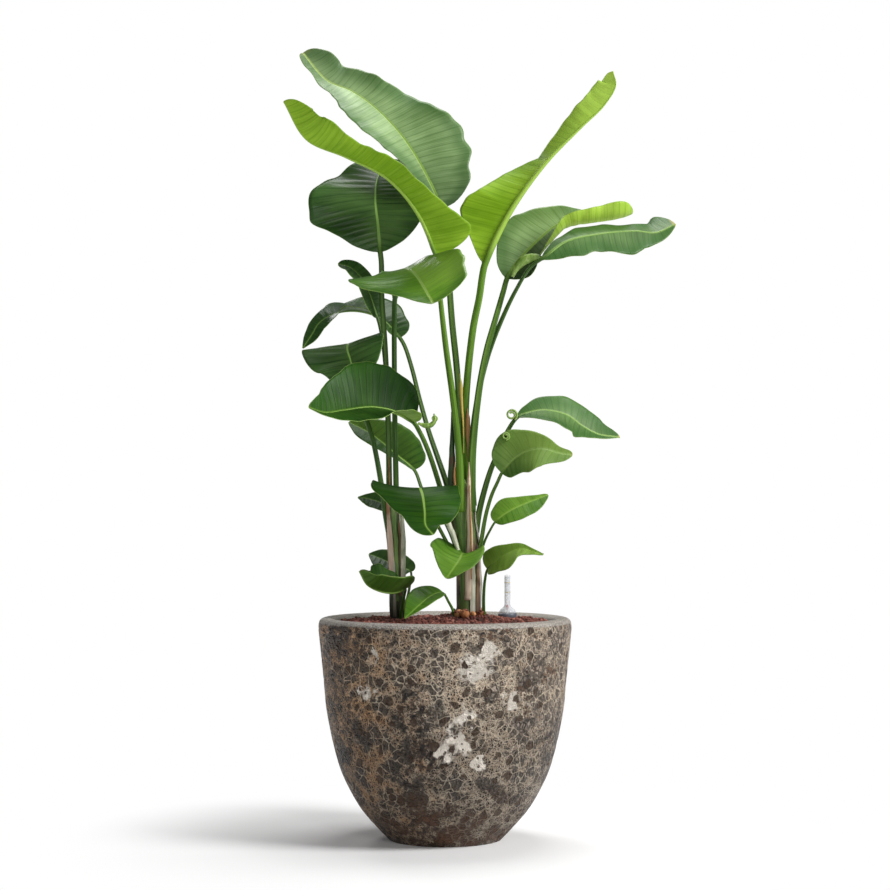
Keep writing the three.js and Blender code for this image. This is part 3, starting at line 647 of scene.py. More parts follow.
# %% Stalk materials
STALK_COLOURS = {
    "green": [rgb(0.015, 0.06, 0.006), rgb(0.08, 0.18, 0.018), rgb(0.22, 0.36, 0.07)],
    "light": [rgb(0.05, 0.13, 0.008), rgb(0.15, 0.29, 0.025), rgb(0.28, 0.44, 0.06)],
    "dark": [rgb(0.013, 0.045, 0.008), rgb(0.065, 0.145, 0.018), rgb(0.2, 0.34, 0.08)],
}


def stalk_material(name, dark, light, rib):
    material, tree = new_material(name)
    parts = parts_of(tree, stored(tree, "stalk_place", "Vector"))
    round_it = times(tree, parts[0], 6.0)
    along_it = times(tree, parts[1], 9.0)
    lines = noise_value(tree, vector_of(tree, round_it, along_it), 1.0, 4.0, 0.6)
    colour = mix_colour(tree, smooth_range(tree, lines, 0.3, 0.72), dark, light)
    channel = smooth_range(tree, parts[0], 0.75, 1.0)
    colour = mix_colour(tree, times(tree, channel, 0.35), colour, rib)
    on_blade = smooth_range(tree, parts[2], 0.0, 0.12)
    colour = mix_colour(tree, on_blade, colour, rib)
    shade(tree, {"Base Color": colour, "Roughness": 0.4, "Specular IOR Level": 0.2}, lines, 0.25, 0.0005)
    return material


STALK_MATERIALS = {name: stalk_material("stalk_" + name, *colours) for name, colours in STALK_COLOURS.items()}
print("stalk materials:", len(STALK_MATERIALS))

# %% [markdown]
# ## The leaves, one by one
# Each leaf is a row in a table: the points of its stalk and its rib, its stalk's radius from the foot up, the
# way its upper side faces, its look, and for each half the widths from base to tip with its folds, curls,
# waves and tones, where a tone is painted light and shade. A list of one value holds all along.

# %% The table of leaves
LEAVES = {
    "leaf_right_01": {
        "large": True,
        "stalk": [
            (24, 28, 555), (24, 28, 599), (24, 32, 748), (20, 34, 806), (12, 42, 886), (5, 50, 982),
            (-3, 57, 1060),
        ],
        "rib": [
            (-7, 60, 1084), (-47, 76, 1170), (-82, 90, 1223), (-127, 106, 1271), (-166, 118, 1300),
            (-211, 130, 1322), (-254, 142, 1373),
        ],
        "radius": [5.8, 5.6, 5.2],
        "face": [(0.1, -0.95, 0.2), (0.05, -0.9, 0.4), (0.2, -0.8, 0.5)],
        "left": {
            "width": [16, 25, 44, 66, 77, 68, 41, 20, 24],
            "fold": [40, 30, 25],
            "tone": [0.7, 0.9, 1, 1, 0.6],
        },
        "right": {
            "width": [48, 76, 97, 84, 63, 50, 45, 46, 34],
            "fold": [5, 5, 10],
            "wave": [7, 3.5, 0],
            "tone": [0.6, 0.9, 1, 1, 0.95, 0.75, 0.5],
        },
        "look": "painted_sheen",
    },
    "leaf_right_02": {
        "large": True,
        "stalk": [
            (28, 8, 555), (27, 4, 599), (25, 3, 655), (15, 0, 746), (3, -2, 831), (-7, 0, 917),
            (-13, 5, 975),
        ],
        "rib": [
            (-15, 8, 993), (-44, -14, 1062), (-96, -46, 1119), (-165, -80, 1150), (-231, -108, 1175),
            (-267, -130, 1234),
        ],
        "radius": [8.5, 6.8, 5.8, 4.2],
        "face": [(0.55, 0.35, 0.75), (0.55, 0.35, 0.75), (0.5, 0.3, 0.8)],
        "left": {
            "width": [92, 60, 42, 40, 41, 43, 63, 46, 28],
            "fold": [50, 25, 20, 30],
            "curl": [10],
            "lobe": -0.1,
        },
        "right": {
            "width": [50, 66, 66, 62, 58, 61, 71, 56, 26],
            "fold": [30, 30, 45, 75],
            "curl": [0, 10, 10],
            "tone": [0.85, 1, 1.05, 1, 0.9],
        },
        "look": "bright",
    },
    "leaf_right_03": {
        "large": True,
        "stalk": [
            (37, 27, 555), (38, 26, 599), (36, 26, 661), (36, 22, 749), (48, 16, 868), (59, 12, 924),
            (65, 10, 965),
        ],
        "rib": [
            (69, 10, 981), (113, 18, 1072), (174, 28, 1157), (236, 38, 1221), (277, 44, 1261),
            (297, 47, 1296), (292, 48, 1321),
        ],
        "radius": [6.2, 6.2, 5.8],
        "face": [(0, 1, 0.2)],
        "left": {
            "width": [25, 40, 45, 40, 30, 24, 24, 24, 12],
            "fold": [115, 112, 100, 105, 100],
            "tone": [0.9, 0.9, 1.1, 1.3, 1.4],
        },
        "right": {
            "width": [24, 46, 84, 72, 60, 54, 40, 33, 36, 37, 39, 36, 26],
            "fold": [10, 20, 72, 30, 15],
            "lobe": 0,
            "tone": [0.95, 1, 1, 1.2, 1.45, 1.5],
        },
        "look": "bright",
    },
    "leaf_right_04": {
        "large": True,
        "stalk": [
            (46, 12, 555), (46, 8, 599), (47.5, 8, 661), (58.5, 8, 764), (71.5, 8, 832),
            (87, 16, 887), (101, 32, 936),
        ],
        "rib": [
            (108, 44, 960), (122, 52, 984), (161, 60, 1027), (203, 68, 1059), (268, 80, 1070),
            (328, 88, 1078),
        ],
        "radius": [7, 5.8, 4.6],
        "face": [(-0.1, -0.95, 0.2), (-0.1, -0.85, 0.4), (0, -0.7, 0.7)],
        "left": {
            "width": [16, 42, 66, 58, 40, 24, 14, 12, 6],
            "fold": [0, 5, 10],
            "tone": [0.9, 1.05, 1.1, 1, 0.9],
        },
        "right": {
            "width": [25, 45, 52, 58, 60, 60, 62, 60, 28],
            "fold": [0],
            "curl": [10, 90, 140, 150, 140],
            "tone": [0.15, 0.3, 0.8, 1.1, 1.15],
        },
        "look": "painted_sheen",
    },
    "leaf_right_05": {
        "stalk": [
            (50, 34, 565), (48, 34, 599), (47, 34, 679), (57, 32, 756), (74, 29, 825), (97, 21, 885),
            (121, 7, 935), (145, -9, 973),
        ],
        "rib": [
            (165, -18, 987), (206, -6, 1018), (263, 12, 1033), (329, 34, 1041), (367, 46, 1040),
            (400.8, 56, 1056),
        ],
        "radius": [5, 5, 3.6],
        "face": [(0, -0.45, 0.9)],
        "left": {"width": [8, 14, 24, 36, 32, 26, 32, 48, 36], "fold": [5], "lobe": 0.3},
        "right": {"width": [10, 24, 38, 36, 42, 50, 34, 18, 8], "fold": [-35], "lobe": 0.3},
        "look": "grey",
    },
    "leaf_right_06": {
        "stalk": [
            (22, 38, 515), (12, 47, 560), (4, 54, 599), (-14, 63, 653), (-28, 70, 694), (-44, 84, 750),
            (-58, 96, 806), (-71, 106, 846),
        ],
        "rib": [
            (-80, 112, 862), (-95, 117, 880), (-121, 124, 902), (-155, 128, 911), (-185, 128, 909),
            (-207, 122, 900), (-224, 116, 886), (-234, 108, 868), (-250, 98, 842),
        ],
        "radius": [6, 4.4, 3.6],
        "face": [(0.25, -0.8, 0.5), (0.1, -0.4, 0.9), (-0.1, -0.2, 1), (-0.3, -0.8, 0.4), (-0.2, -1, 0.1)],
        "left": {"width": [22, 32, 38, 38, 34, 26, 22, 14, 4], "fold": [35, 20, 5]},
        "right": {"width": [30, 40, 62, 66, 58, 28, 16, 12, 4], "fold": [10]},
        "look": "dark",
    },
    "leaf_right_07": {
        "large": True,
        "stalk": [(27, 22, 470), (15, 27, 515), (2, 30, 561), (-12, 28, 610), (-29, 24, 661), (-43, 16, 692)],
        "rib": [
            (-54, 6, 709), (-82, -14, 725), (-122, -44, 732), (-169, -84, 725), (-199, -112, 720),
            (-224, -134, 727),
        ],
        "radius": [6.5, 5, 4.4],
        "face": [(0.5, -0.6, 0.5), (0.5, -0.6, 0.45), (0.45, -0.6, 0.5)],
        "left": {
            "width": [32, 48, 58, 61, 64, 59, 49, 36, 22],
            "fold": [45, 38, 38],
            "curl": [50, 10, 0],
            "tone": [0.9, 0.6, 0.7, 1],
        },
        "right": {
            "width": [58, 72, 81, 82, 75, 61, 46, 30, 14],
            "fold": [10, 20, 20],
            "curl": [0, -10, 0],
            "tone": [0.1, 0.35, 0.75, 1, 1],
        },
        "look": "deep",
    },
    "leaf_right_08": {
        "stalk": [
            (32, 40, 430), (20, 54, 470), (4, 68, 500), (-12, 80, 530),
            (-30, 92, 566), (-42, 100, 598),
        ],
        "rib": [(-54, 110, 628), (-81, 120, 652), (-132, 136, 693), (-171, 148, 714)],
        "radius": [4, 3.2, 3],
        "face": [(0.2, -0.77, 0.57)],
        "left": {"width": [6, 12, 24, 27, 6], "fold": [15]},
        "right": {"width": [32, 50, 50, 28, 6], "fold": [12], "tone": [1, 1.1]},
        "look": "shade",
    },
    "leaf_right_09": {
        "large": True,
        "stalk": [(32, 9, 452), (24, 3, 486), (9, 1, 527), (-9, 2, 558), (-26, 3, 579)],
        "rib": [
            (-44, -3, 592), (-43, -22, 596), (-38, -46, 584), (-34, -72, 557), (-32, -90, 533),
            (-20, -104, 518),
        ],
        "radius": [7, 6.5, 4.4],
        "face": [(0, 0, 1), (0, -0.3, 0.95), (0, -0.8, 0.5)],
        "left": {
            "width": [44, 60, 64, 64, 62, 54, 40, 22, 8],
            "fold": [5, 0, 0],
            "curl": [0, -10, -10],
            "tone": [0.9, 0.8, 0.6],
        },
        "right": {
            "width": [54, 76, 84, 76, 58, 42, 30, 18, 8],
            "fold": [0],
            "curl": [20, 10, 0],
            "tone": [0.3, 0.5, 0.8],
        },
        "look": "deep",
    },
    "leaf_right_10": {
        "stalk": [(42, 10, 450), (40, 1, 462), (36, -10, 476)],
        "rib": [(31, -18, 485), (24, -42, 474), (12, -60, 457), (3, -70, 444)],
        "radius": [4.5, 4, 3],
        "face": [(-0.1, -0.6, 0.8)],
        "left": {
            "width": [28, 38, 33, 21, 6],
            "fold": [2, 5],
            "curl": [14, 10],
            "lobe": 1.6,
            "tone": [1, 0.9],
        },
        "right": {
            "width": [50, 57, 43, 25, 6],
            "fold": [5],
            "curl": [34, 20],
            "lobe": 0.6,
            "tone": [0.8, 0.9],
        },
        "look": "middle",
    },
    "leaf_right_11": {
        "stalk": [(20, 2, 345), (18, 3, 372), (12, 1, 391), (6, -2, 402)],
        "rib": [(-3, -8, 417), (-24, -36, 413), (-45, -62, 397), (-67, -84, 378)],
        "radius": [3.2, 2.8, 2.2],
        "face": [(0.1, -0.55, 0.83)],
        "left": {"width": [10, 18, 17, 10, 2], "fold": [15]},
        "right": {"width": [20, 32, 31, 19, 3], "fold": [0]},
        "look": "fresh",
    },
    "leaf_right_12": {
        "stalk": [(66, 6, 345), (66, 8, 378), (66, 8, 411), (68, 4, 438)],
        "rib": [
            (72, -8, 457), (84, -24, 470), (102, -40, 484), (126, -54, 494), (146, -66, 490),
            (164, -76, 484),
        ],
        "radius": [3.4, 3, 2.4],
        "face": [(-0.4, -0.7, 0.6), (-0.3, -0.6, 0.8)],
        "left": {"width": [28, 26, 14, 6, 2], "fold": [20], "tone": [1.25, 1.1]},
        "right": {"width": [14, 32, 38, 15, 3], "fold": [5], "tone": [1.25, 1.3]},
        "look": "middle",
    },
    "leaf_right_13": {
        "stalk": [(54, 32, 450), (61, 31, 480), (69, 28, 506), (78, 26, 524)],
        "rib": [(86, 26, 537), (103, 28, 551), (129, 32, 565), (178, 40, 584)],
        "radius": [3, 2.4, 2],
        "face": [(-0.3, -0.75, 0.5)],
        "left": {"width": [16, 27, 19, 10, 4], "fold": [10], "tone": [1.1, 1.15]},
        "right": {"width": [14, 27, 32, 24, 6], "fold": [10]},
        "look": "middle",
    },
    "leaf_right_14": {
        "stalk": [(57, 12, 480), (62, 9, 505), (70, 4, 550), (80, 2, 584), (90, 1, 606)],
        "rib": [
            (97, 0, 621), (111, -6, 638), (128, -14, 652), (148, -24, 661), (170, -34, 662),
            (192, -40, 655), (215, -44, 651),
        ],
        "radius": [4, 3.4, 2.8],
        "face": [(-0.1, -0.85, 0.5), (-0.1, -0.8, 0.6)],
        "left": {"width": [34, 52, 33, 14, 8], "fold": [10], "lobe": -0.1, "tone": [1, 1.25, 1.2]},
        "right": {"width": [20, 38, 51, 32, 8], "fold": [20, 8, 8], "tone": [0.85, 1.2, 1.1]},
        "look": "mild",
    },
    "leaf_right_15": {
        "stalk": [
            (45, 36, 465), (52, 39, 506), (58, 40, 549), (66, 38, 584), (79, 38, 627), (92, 38, 658),
            (109, 38, 696),
        ],
        "rib": [
            (126, 38, 719), (150, 42, 728), (174, 48, 731), (212, 58, 723), (240, 68, 704),
            (268, 76, 690), (306, 88, 685),
        ],
        "radius": [6, 5, 3.6],
        "face": [(0.1, -0.6, 0.8)],
        "left": {"width": [8, 29, 39, 36, 10], "fold": [20, 15]},
        "right": {"width": [18, 42, 60, 64, 56, 36, 18, 9, 3], "fold": [25, 5, 5]},
        "look": "grey",
    },
    "leaf_left_01": {
        "large": True,
        "stalk": [
            (-96, 61, 545), (-97, 62, 610), (-99, 62, 714), (-104, 62, 836), (-110, 62, 925),
            (-111, 62, 990),
        ],
        "rib": [
            (-113, 63, 1008), (-117, 68, 1054), (-122, 82, 1100), (-121, 110, 1138), (-112, 142, 1167),
            (-100, 175, 1189),
        ],
        "radius": [5.2, 4.8, 4.6],
        "face": [(0, -1, 0.1), (0, -0.9, 0.4), (0, -0.7, 0.7)],
        "left": {"width": [26, 62, 112, 120, 90, 62, 42, 20, 12], "fold": [5, 10, 10], "wave": [6, 3, 0]},
        "right": {"width": [22, 54, 88, 96, 95, 90, 70, 50, 18], "fold": [5, 10, 10], "wave": [6, 3, 0.4]},
        "look": "dark",
    },
    "leaf_left_02": {
        "large": True,
        "stalk": [(-84, 52, 545), (-85, 52, 610), (-87, 52, 714), (-88, 52, 818), (-88, 54, 905)],
        "rib": [
            (-87, 52, 925), (-76, 30, 971), (-67, 4, 972), (-51, -36, 958), (-35, -78, 931),
            (-20, -116, 901),
        ],
        "radius": [5, 4.6, 4.4],
        "face": [(-0.1, 1, 0.3), (-0.35, 0, 0.95), (-0.35, -0.45, 0.85), (-0.3, -0.6, 0.75)],
        "left": {
            "width": [10, 18, 28, 46, 80, 85, 78, 67, 30],
            "fold": [10, 2, 0],
            "curl": [18, 16, 12],
            "lobe": -0.2,
            "tone": [0.8, 1, 1.15, 1.15, 0.9],
        },
        "right": {
            "width": [10, 24, 44, 80, 118, 100, 64, 30, 10],
            "fold": [0, 0, 3, 3, 0],
            "curl": [0, 0, 30, 30, 20],
            "lobe": -0.2,
            "tone": [0.6, 0.7, 0.7, 0.85],
        },
        "look": "glossy",
    },
    "leaf_left_03": {
        "stalk": [(-99, 80, 545), (-99, 82, 610), (-100, 82, 700), (-104, 82, 803), (-112, 81, 870)],
        "rib": [(-118, 79, 894), (-139, 80, 952), (-154, 80, 972), (-168, 80, 983), (-187, 78, 988)],
        "radius": [4, 3.8, 3.2],
        "face": [(0.4, -0.6, 0.6)],
        "left": {"width": [16, 28, 31, 30, 12], "fold": [20]},
        "right": {"width": [10, 18, 20, 19, 8], "fold": [20]},
        "look": "dark",
    },
    "leaf_left_04": {
        "large": True,
        "stalk": [
            (-98, 54, 520), (-103, 48, 550), (-112, 43, 613), (-125, 46, 679), (-137, 50, 717),
            (-149, 56, 763), (-158, 60, 792),
        ],
        "rib": [
            (-162, 60, 805), (-168, 44, 846), (-168, 24, 833), (-161, 12, 810), (-158, 5, 779),
            (-157, 2, 753),
        ],
        "radius": [5, 4.4, 4],
        "face": [(0, 0.9, 0.4), (-0.25, -0.2, 1), (-0.25, -0.8, 0.5), (-0.2, -0.9, 0.2)],
        "left": {"width": [32, 48, 58, 66, 62, 50, 30, 12, 4], "fold": [5]},
        "right": {"width": [42, 64, 79, 82, 72, 57, 40, 20, 5], "fold": [5]},
        "look": "dark",
    },
    "leaf_left_05": {
        "stalk": [(-86, 66, 445), (-91, 80, 480), (-95, 90, 520), (-97, 94, 546)],
        "rib": [(-98, 94, 558), (-112, 98, 570), (-132, 102, 577), (-153, 106, 580)],
        "radius": [2.6, 2.2, 1.8],
        "face": [(0.3, -0.7, 0.6)],
        "left": {"width": [14, 23, 23, 15, 3], "fold": [10]},
        "right": {"width": [12, 19, 18, 10, 2], "fold": [10]},
        "look": "dark",
    },
    "leaf_left_06": {
        "stalk": [(-78, 40, 345), (-76, 37, 378), (-72, 30, 402), (-69, 18, 416)],
        "rib": [(-68, 2, 423), (-87, -18, 418), (-110, -36, 421), (-131, -48, 432), (-144, -54, 455)],
        "radius": [3.4, 3, 2.4],
        "face": [(0.1, 0.1, 1)],
        "left": {"width": [30, 38, 37, 28, 10], "fold": [45], "lobe": 0.4},
        "right": {"width": [32, 54, 54, 38, 12], "fold": [60]},
        "look": "shade",
    },
    "leaf_left_07": {
        "stalk": [(-74, 84, 345), (-72, 87, 379), (-65, 94, 407), (-61, 100, 432)],
        "rib": [(-60, 105, 449), (-88, 110, 461), (-115, 114, 473), (-134, 118, 480)],
        "radius": [3, 2.6, 2],
        "face": [(0.2, -0.7, 0.6)],
        "left": {"width": [15, 25, 29, 22, 5], "fold": [10]},
        "right": {"width": [16, 26, 27, 19, 4], "fold": [10]},
        "look": "dark",
    },
}

# %% Grow all leaves
SEED_STEP = 3.7
for number, (name, leaf) in enumerate(LEAVES.items()):
    line = line_through([*leaf["stalk"], *leaf["rib"]])
    foot = line[1][LINE_STEPS * len(leaf["stalk"])]
    make_blade(name, leaf, line, foot, SEED_STEP * number)
    make_stalk(name, leaf, line, foot)
print("leaves:", len(LEAVES))

# %% [markdown]
# ## The crowns
# At the foot of a clump the leaf bases wrap round each other as sheaths. Old ones are dry and pinkish, their
# edges are pale, and the newest are green. The bundle could be one shape with a painted pattern, but the
# free edges of the sheaths catch the light. So a grooved core is made first, and then each sheath is a
# curved strip of its own that hugs it. The finish of both is drawn along the stem: noise that is stretched
# along Z gives long thin stripes of green, straw and brown.

# %% Stripe materials
DARK_FOOT = (0.02, 0.014, 0.01)
STRIPES = {
    # two stripes, patches and foot as red, green and blue, then the roughness
    "core_right": [(0.05, 0.1, 0.015), (0.16, 0.26, 0.05), (0.1, 0.06, 0.025), (0.05, 0.035, 0.02), 0.62],
    "core_left": [(0.04, 0.09, 0.02), (0.16, 0.25, 0.09), (0.12, 0.1, 0.06), DARK_FOOT, 0.6],
    "sheath_dry": [(0.5, 0.34, 0.24), (0.72, 0.58, 0.44), (0.3, 0.14, 0.07), (0.16, 0.1, 0.07), 0.62],
    "sheath_pale": [(0.42, 0.44, 0.32), (0.68, 0.66, 0.52), (0.3, 0.34, 0.2), (0.4, 0.38, 0.33), 0.62],
    "sheath_green": [(0.07, 0.15, 0.03), (0.2, 0.32, 0.08), (0.12, 0.2, 0.06), (0.1, 0.13, 0.04), 0.62],
    "sheath_brown": [(0.1, 0.05, 0.025), (0.3, 0.17, 0.08), (0.06, 0.04, 0.03), DARK_FOOT, 0.62],
    "sheath_grey": [(0.24, 0.23, 0.18), (0.5, 0.48, 0.4), (0.16, 0.13, 0.09), (0.12, 0.1, 0.08), 0.62],
    # Painted shade: nearly black, for the strip in the shade behind the thickest stalk
    "sheath_night": [(0.008, 0.03, 0.005), (0.035, 0.085, 0.012), (0.09, 0.035, 0.015), DARK_FOOT, 0.5],
    "sheath_amber": [(0.3, 0.2, 0.03), (0.5, 0.38, 0.08), (0.14, 0.26, 0.03), DARK_FOOT, 0.5],
    "sheath_russet": [(0.26, 0.11, 0.025), (0.48, 0.28, 0.1), (0.16, 0.055, 0.018), DARK_FOOT, 0.55],
    "sheath_curl": [(0.16, 0.3, 0.03), (0.36, 0.5, 0.14), (0.1, 0.2, 0.02), DARK_FOOT, 0.5],
}
FOOT_FADE = {"core_left": (0.37, 0.47), "others": (0.36, 0.43)}


def stripe_material(name, first, second, patched, foot_colour, roughness):
    """Long stripes of two colours with patches of a third, and another colour near the granules."""
    material, tree = new_material(name)
    coords = object_place(tree)
    drawn = add_node(tree, "ShaderNodeMapping", {"Vector": coords, "Scale": (1.0, 1.0, 0.05)}).outputs[0]
    lines = noise_value(tree, drawn, 260.0, 5.0, 0.65)
    patches = noise_value(tree, coords, 26.0, 3.0)
    colour = mix_colour(tree, smooth_range(tree, lines, 0.34, 0.66), rgb(*first), rgb(*second))
    colour = mix_colour(tree, smooth_range(tree, patches, 0.5, 0.72), colour, rgb(*patched))
    fade = FOOT_FADE.get(name, FOOT_FADE["others"])
    # Toward the granules the colour turns to the foot colour, darker on most stripes
    foot = smooth_range(tree, parts_of(tree, coords)[2], *fade, 0.85, 0.0)
    colour = mix_colour(tree, foot, colour, rgb(*foot_colour))
    shade(tree, {"Base Color": colour, "Roughness": roughness}, lines, 0.4, 0.0007)
    return material


STRIPE_MATERIALS = {name: stripe_material(name, *row) for name, row in STRIPES.items()}
print("stripe materials:", len(STRIPE_MATERIALS))

# %% Places on a crown
CROWNS = {
    "crown_right": {
        "grooves": 15,
        "places": [
            (41, 25, 320), (41, 25, 370), (41, 25, 440), (40, 25, 495), (33, 24, 540), (29, 22, 598),
            (28, 21, 610),
        ],
        "half_widths": [17, 20, 21, 20.5, 20.5, 22, 13],
        "half_depths": [17, 21, 23, 23, 23, 23, 14],
    },
    "crown_left": {
        "grooves": 12,
        "places": [
            (-81, 60, 320), (-82, 60, 372), (-82, 60, 440), (-84, 60, 505), (-88, 59, 550), (-92, 60, 592),
            (-93, 60, 600),
        ],
        "half_widths": [10, 12, 13.5, 16, 16, 17, 11],
        "half_depths": [12, 14, 18, 20, 22, 23, 14],
    },
}
CORE = {
    "shrink": 0.93, "sides": 60, "rows": 70, "groove": 1.1, "twist": 0.012,
    "lump": 1.2, "lumps_round": 2.2, "lump_length": 70,
}


def crown_station(crown, z):
    """Centre and half sizes of a crown at a height."""
    places = crown["places"]
    z = min(max(z, places[0][2]), places[-1][2])
    k = next(i for i in range(len(places) - 1) if z <= places[i + 1][2])
    t = (z - places[k][2]) / (places[k + 1][2] - places[k][2])
    centre = Vector(places[k]).lerp(Vector(places[k + 1]), t)
    sizes = []
    for key in ("half_widths", "half_depths"):
        sizes.append(crown[key][k] + (crown[key][k + 1] - crown[key][k]) * t)
    return centre, sizes[0], sizes[1]


def crown_point(crown, turn, z, out):
    """A point round a crown: turn 0 faces the front, and out is millimetres over the core."""
    centre, wide, deep = crown_station(crown, z)
    x = math.sin(turn) * (wide * CORE["shrink"] + out)
    y = -math.cos(turn) * (deep * CORE["shrink"] + out)
    return Vector((centre.x + x, centre.y + y, z))


# %% The cores of the crowns
def make_core(name, crown):
    bm = new_grid(CORE["sides"], CORE["rows"])
    low, high = crown["places"][0][2], crown["places"][-1][2]
    round_it = CORE["lumps_round"]
    for vert in bm.verts:
        turn = math.pi * vert.co.x
        z = low + (high - low) * (vert.co.y + 1) / 2
        groove = CORE["groove"] * math.sin(crown["grooves"] * turn + CORE["twist"] * z)
        place = Vector((round_it * math.sin(turn), round_it * math.cos(turn), z / CORE["lump_length"]))
        vert.co = crown_point(crown, turn, z, groove + CORE["lump"] * noise.noise(place)) * MM
    close_tube(bm)
    finish_piece(name, bm, [STRIPE_MATERIALS[name.replace("crown", "core")]], [name])


for name, crown in CROWNS.items():
    make_core(name, crown)
print("crowns:", len(CROWNS))

# %% Sheaths round the crowns
SHEATHS = [
    # crown, finish, turn, half angle at the foot and at the top, low, high, layer
    ("crown_right", "green", -28, 30, 12, 372, 596, 1),
    ("crown_right", "pale", 20, 14, 8, 376, 470, 2),
    ("crown_right", "brown", 44, 12, 5, 370, 500, 3),
    ("crown_right", "grey", 72, 20, 8, 374, 560, 2),
    ("crown_right", "brown", -66, 22, 10, 370, 520, 1),
    ("crown_right", "dry", 128, 34, 12, 372, 585, 2),
    ("crown_right", "green", 180, 30, 14, 370, 600, 1),
    ("crown_right", "grey", -128, 30, 10, 372, 560, 2),
    ("crown_left", "dry", -42, 26, 16, 440, 596, 2),
    ("crown_left", "green", -4, 16, 12, 400, 598, 1),
    ("crown_left", "pale", 40, 12, 8, 440, 592, 2),
    ("crown_left", "brown", 22, 8, 4, 410, 540, 3),
    ("crown_left", "grey", -20, 12, 5, 372, 470, 2),
    ("crown_left", "green", 84, 26, 14, 380, 596, 1),
    ("crown_left", "brown", 150, 34, 14, 374, 560, 2),
    ("crown_left", "dry", -120, 34, 12, 372, 580, 2),
]
SHEATH = {
    "columns": 10, "rows": 44, "thickness": 0.8, "layer": 1.3, "tip": 0.12, "blunt": 0.02,
    "lean": 5, "fray": 1.5, "flare": 1.6,
}


def make_sheath(number, crown_name, finish, turn, spread_low, spread_high, low, high, layer):
    bm = new_grid(SHEATH["columns"], SHEATH["rows"])
    for vert in bm.verts:
        x = vert.co.x
        w = (vert.co.y + 1) / 2
        z = low + (high - low) * w
        spread = spread_low + (spread_high - spread_low) * w
        spread *= round_end((1 - w) / SHEATH["tip"] + SHEATH["blunt"])
        lean = SHEATH["lean"] * noise.noise(Vector((w * 2.5, number * 3.1, 0)))
        frayed = SHEATH["fray"] * noise.noise(Vector((w * 9, x * 2, number * 1.7)))
        flare = SHEATH["flare"] * abs(x) ** 3 * noise.noise(Vector((w * 5, number, x)))
        angle = math.radians(turn + lean + spread * x + frayed)
        vert.co = crown_point(CROWNS[crown_name], angle, z, SHEATH["layer"] * layer + flare) * MM
    sheath = finish_piece("sheath_%02d" % number, bm, [STRIPE_MATERIALS["sheath_" + finish]])
    thicken(sheath, SHEATH["thickness"])


for number, row in enumerate(SHEATHS, start=1):
    make_sheath(number, *row)
print("sheaths:", len(SHEATHS))

# %% [markdown]
# Higher up, single sheaths cling to the stalks: one behind the thickest stalk, painted nearly black for the
# shade it lies in, torn brown edges, a cream one with a sharp tip, and the pale channel of a bent stalk. Each
# is a strip along a line of its own, bulged to the front, with a half width at each point.

# %% Strips on the stalks
STRIPS = [
    # finish, bulge, then points as x, y, z and half width
    # Painted shade: this strip is nearly black for the shade behind the thickest stalk
    ("night", 5, (11, 10, 726, 0.6), (12, 10, 690, 3.2), (12, 10, 650, 5.5), (12, 10, 610, 7.5),
     (13, 10, 560, 8)),
    ("russet", 2, (17, 0, 640, 0.5), (16, 0, 618, 2.2), (17, 0, 600, 2.6), (18, 0, 575, 2)),
    ("amber", 2, (25, -6, 791, 0.4), (27, -6, 769, 3.4), (28, -6, 746, 2.6), (31, -4, 703, 1.6),
     (32, -3, 655, 1)),
    ("russet", 3, (38, 14, 732, 0.5), (39, 14, 713, 4.2), (39, 14, 692, 4), (39.5, 14, 664, 2),
     (40, 12, 640, 1.2)),
    ("dry", 3, (41, 1, 640, 0.6), (41, 0, 606, 3.2), (41, -1, 560, 3.9), (43, -1, 507, 5.2),
     (40, 1, 447, 6.4), (39, 2, 404, 6)),
    ("russet", 2, (42, -4, 600, 0.4), (43, -5, 560, 1.1), (45, -5, 505, 1.5), (45, -4, 440, 1.2)),
    ("pale", 3, (28, -5, 470, 2.5), (18, -8, 503, 4), (9, -9, 528, 4.6), (0, -8, 545, 4.4),
     (-10, -7, 559, 4)),
    ("russet", 1, (-98, 56, 650, 0.4), (-97, 56, 630, 1.2), (-96, 56, 605, 1.6), (-95, 55, 575, 1.8)),
    ("pale", 4, (-76, 44, 577, 0.6), (-74, 43, 540, 3.2), (-73, 42, 487, 5), (-74, 43, 434, 4.4)),
    ("curl", 3, (-46, -8, 706, 2), (-34, -10, 702, 4.4), (-24, -10, 703, 4.4), (-17, -9, 712, 3),
     (-19, -9, 722, 1.4)),
    ("curl", 5, (116, 28, 960, 3), (127, 24, 980, 7), (140, 22, 990, 8), (156, 20, 994, 6),
     (168, 20, 993, 1.5)),
]
STRIP = {"columns": 8, "rows": 48, "fray": 0.16, "thickness": 0.9, "past_knot": 1e-3}


def make_strip(number, finish, bulge, *points):
    """A strip along a line. The direction at a knot is taken just past it, from the stretch that follows."""
    line = line_through([point[:3] for point in points])
    widths = [point[3] for point in points]
    bm = new_grid(STRIP["columns"], STRIP["rows"])
    for vert in bm.verts:
        x = vert.co.x
        w = (vert.co.y + 1) / 2
        point, forward = place_on(line, straight_along(line[1], w) + STRIP["past_knot"])
        across = Vector((forward.z, 0, -forward.x)).normalized()
        frayed = 1 + STRIP["fray"] * noise.noise(Vector((w * 9, number * 2.3, x)))
        place = point + across * x * smooth_along(widths, w) * frayed
        vert.co = (place - Vector((0, bulge * (1 - x ** 2), 0))) * MM
    strip = finish_piece("strip_%02d" % number, bm, [STRIPE_MATERIALS["sheath_" + finish]])
    thicken(strip, STRIP["thickness"])


for number, row in enumerate(STRIPS, start=1):
    make_strip(number, *row)
print("strips:", len(STRIPS))

# %% [markdown]
# At the foot of some blades the margin has rolled up into a small scroll. It is a strip wound round an axis
# that points to the front, and the turns get smaller inwards.

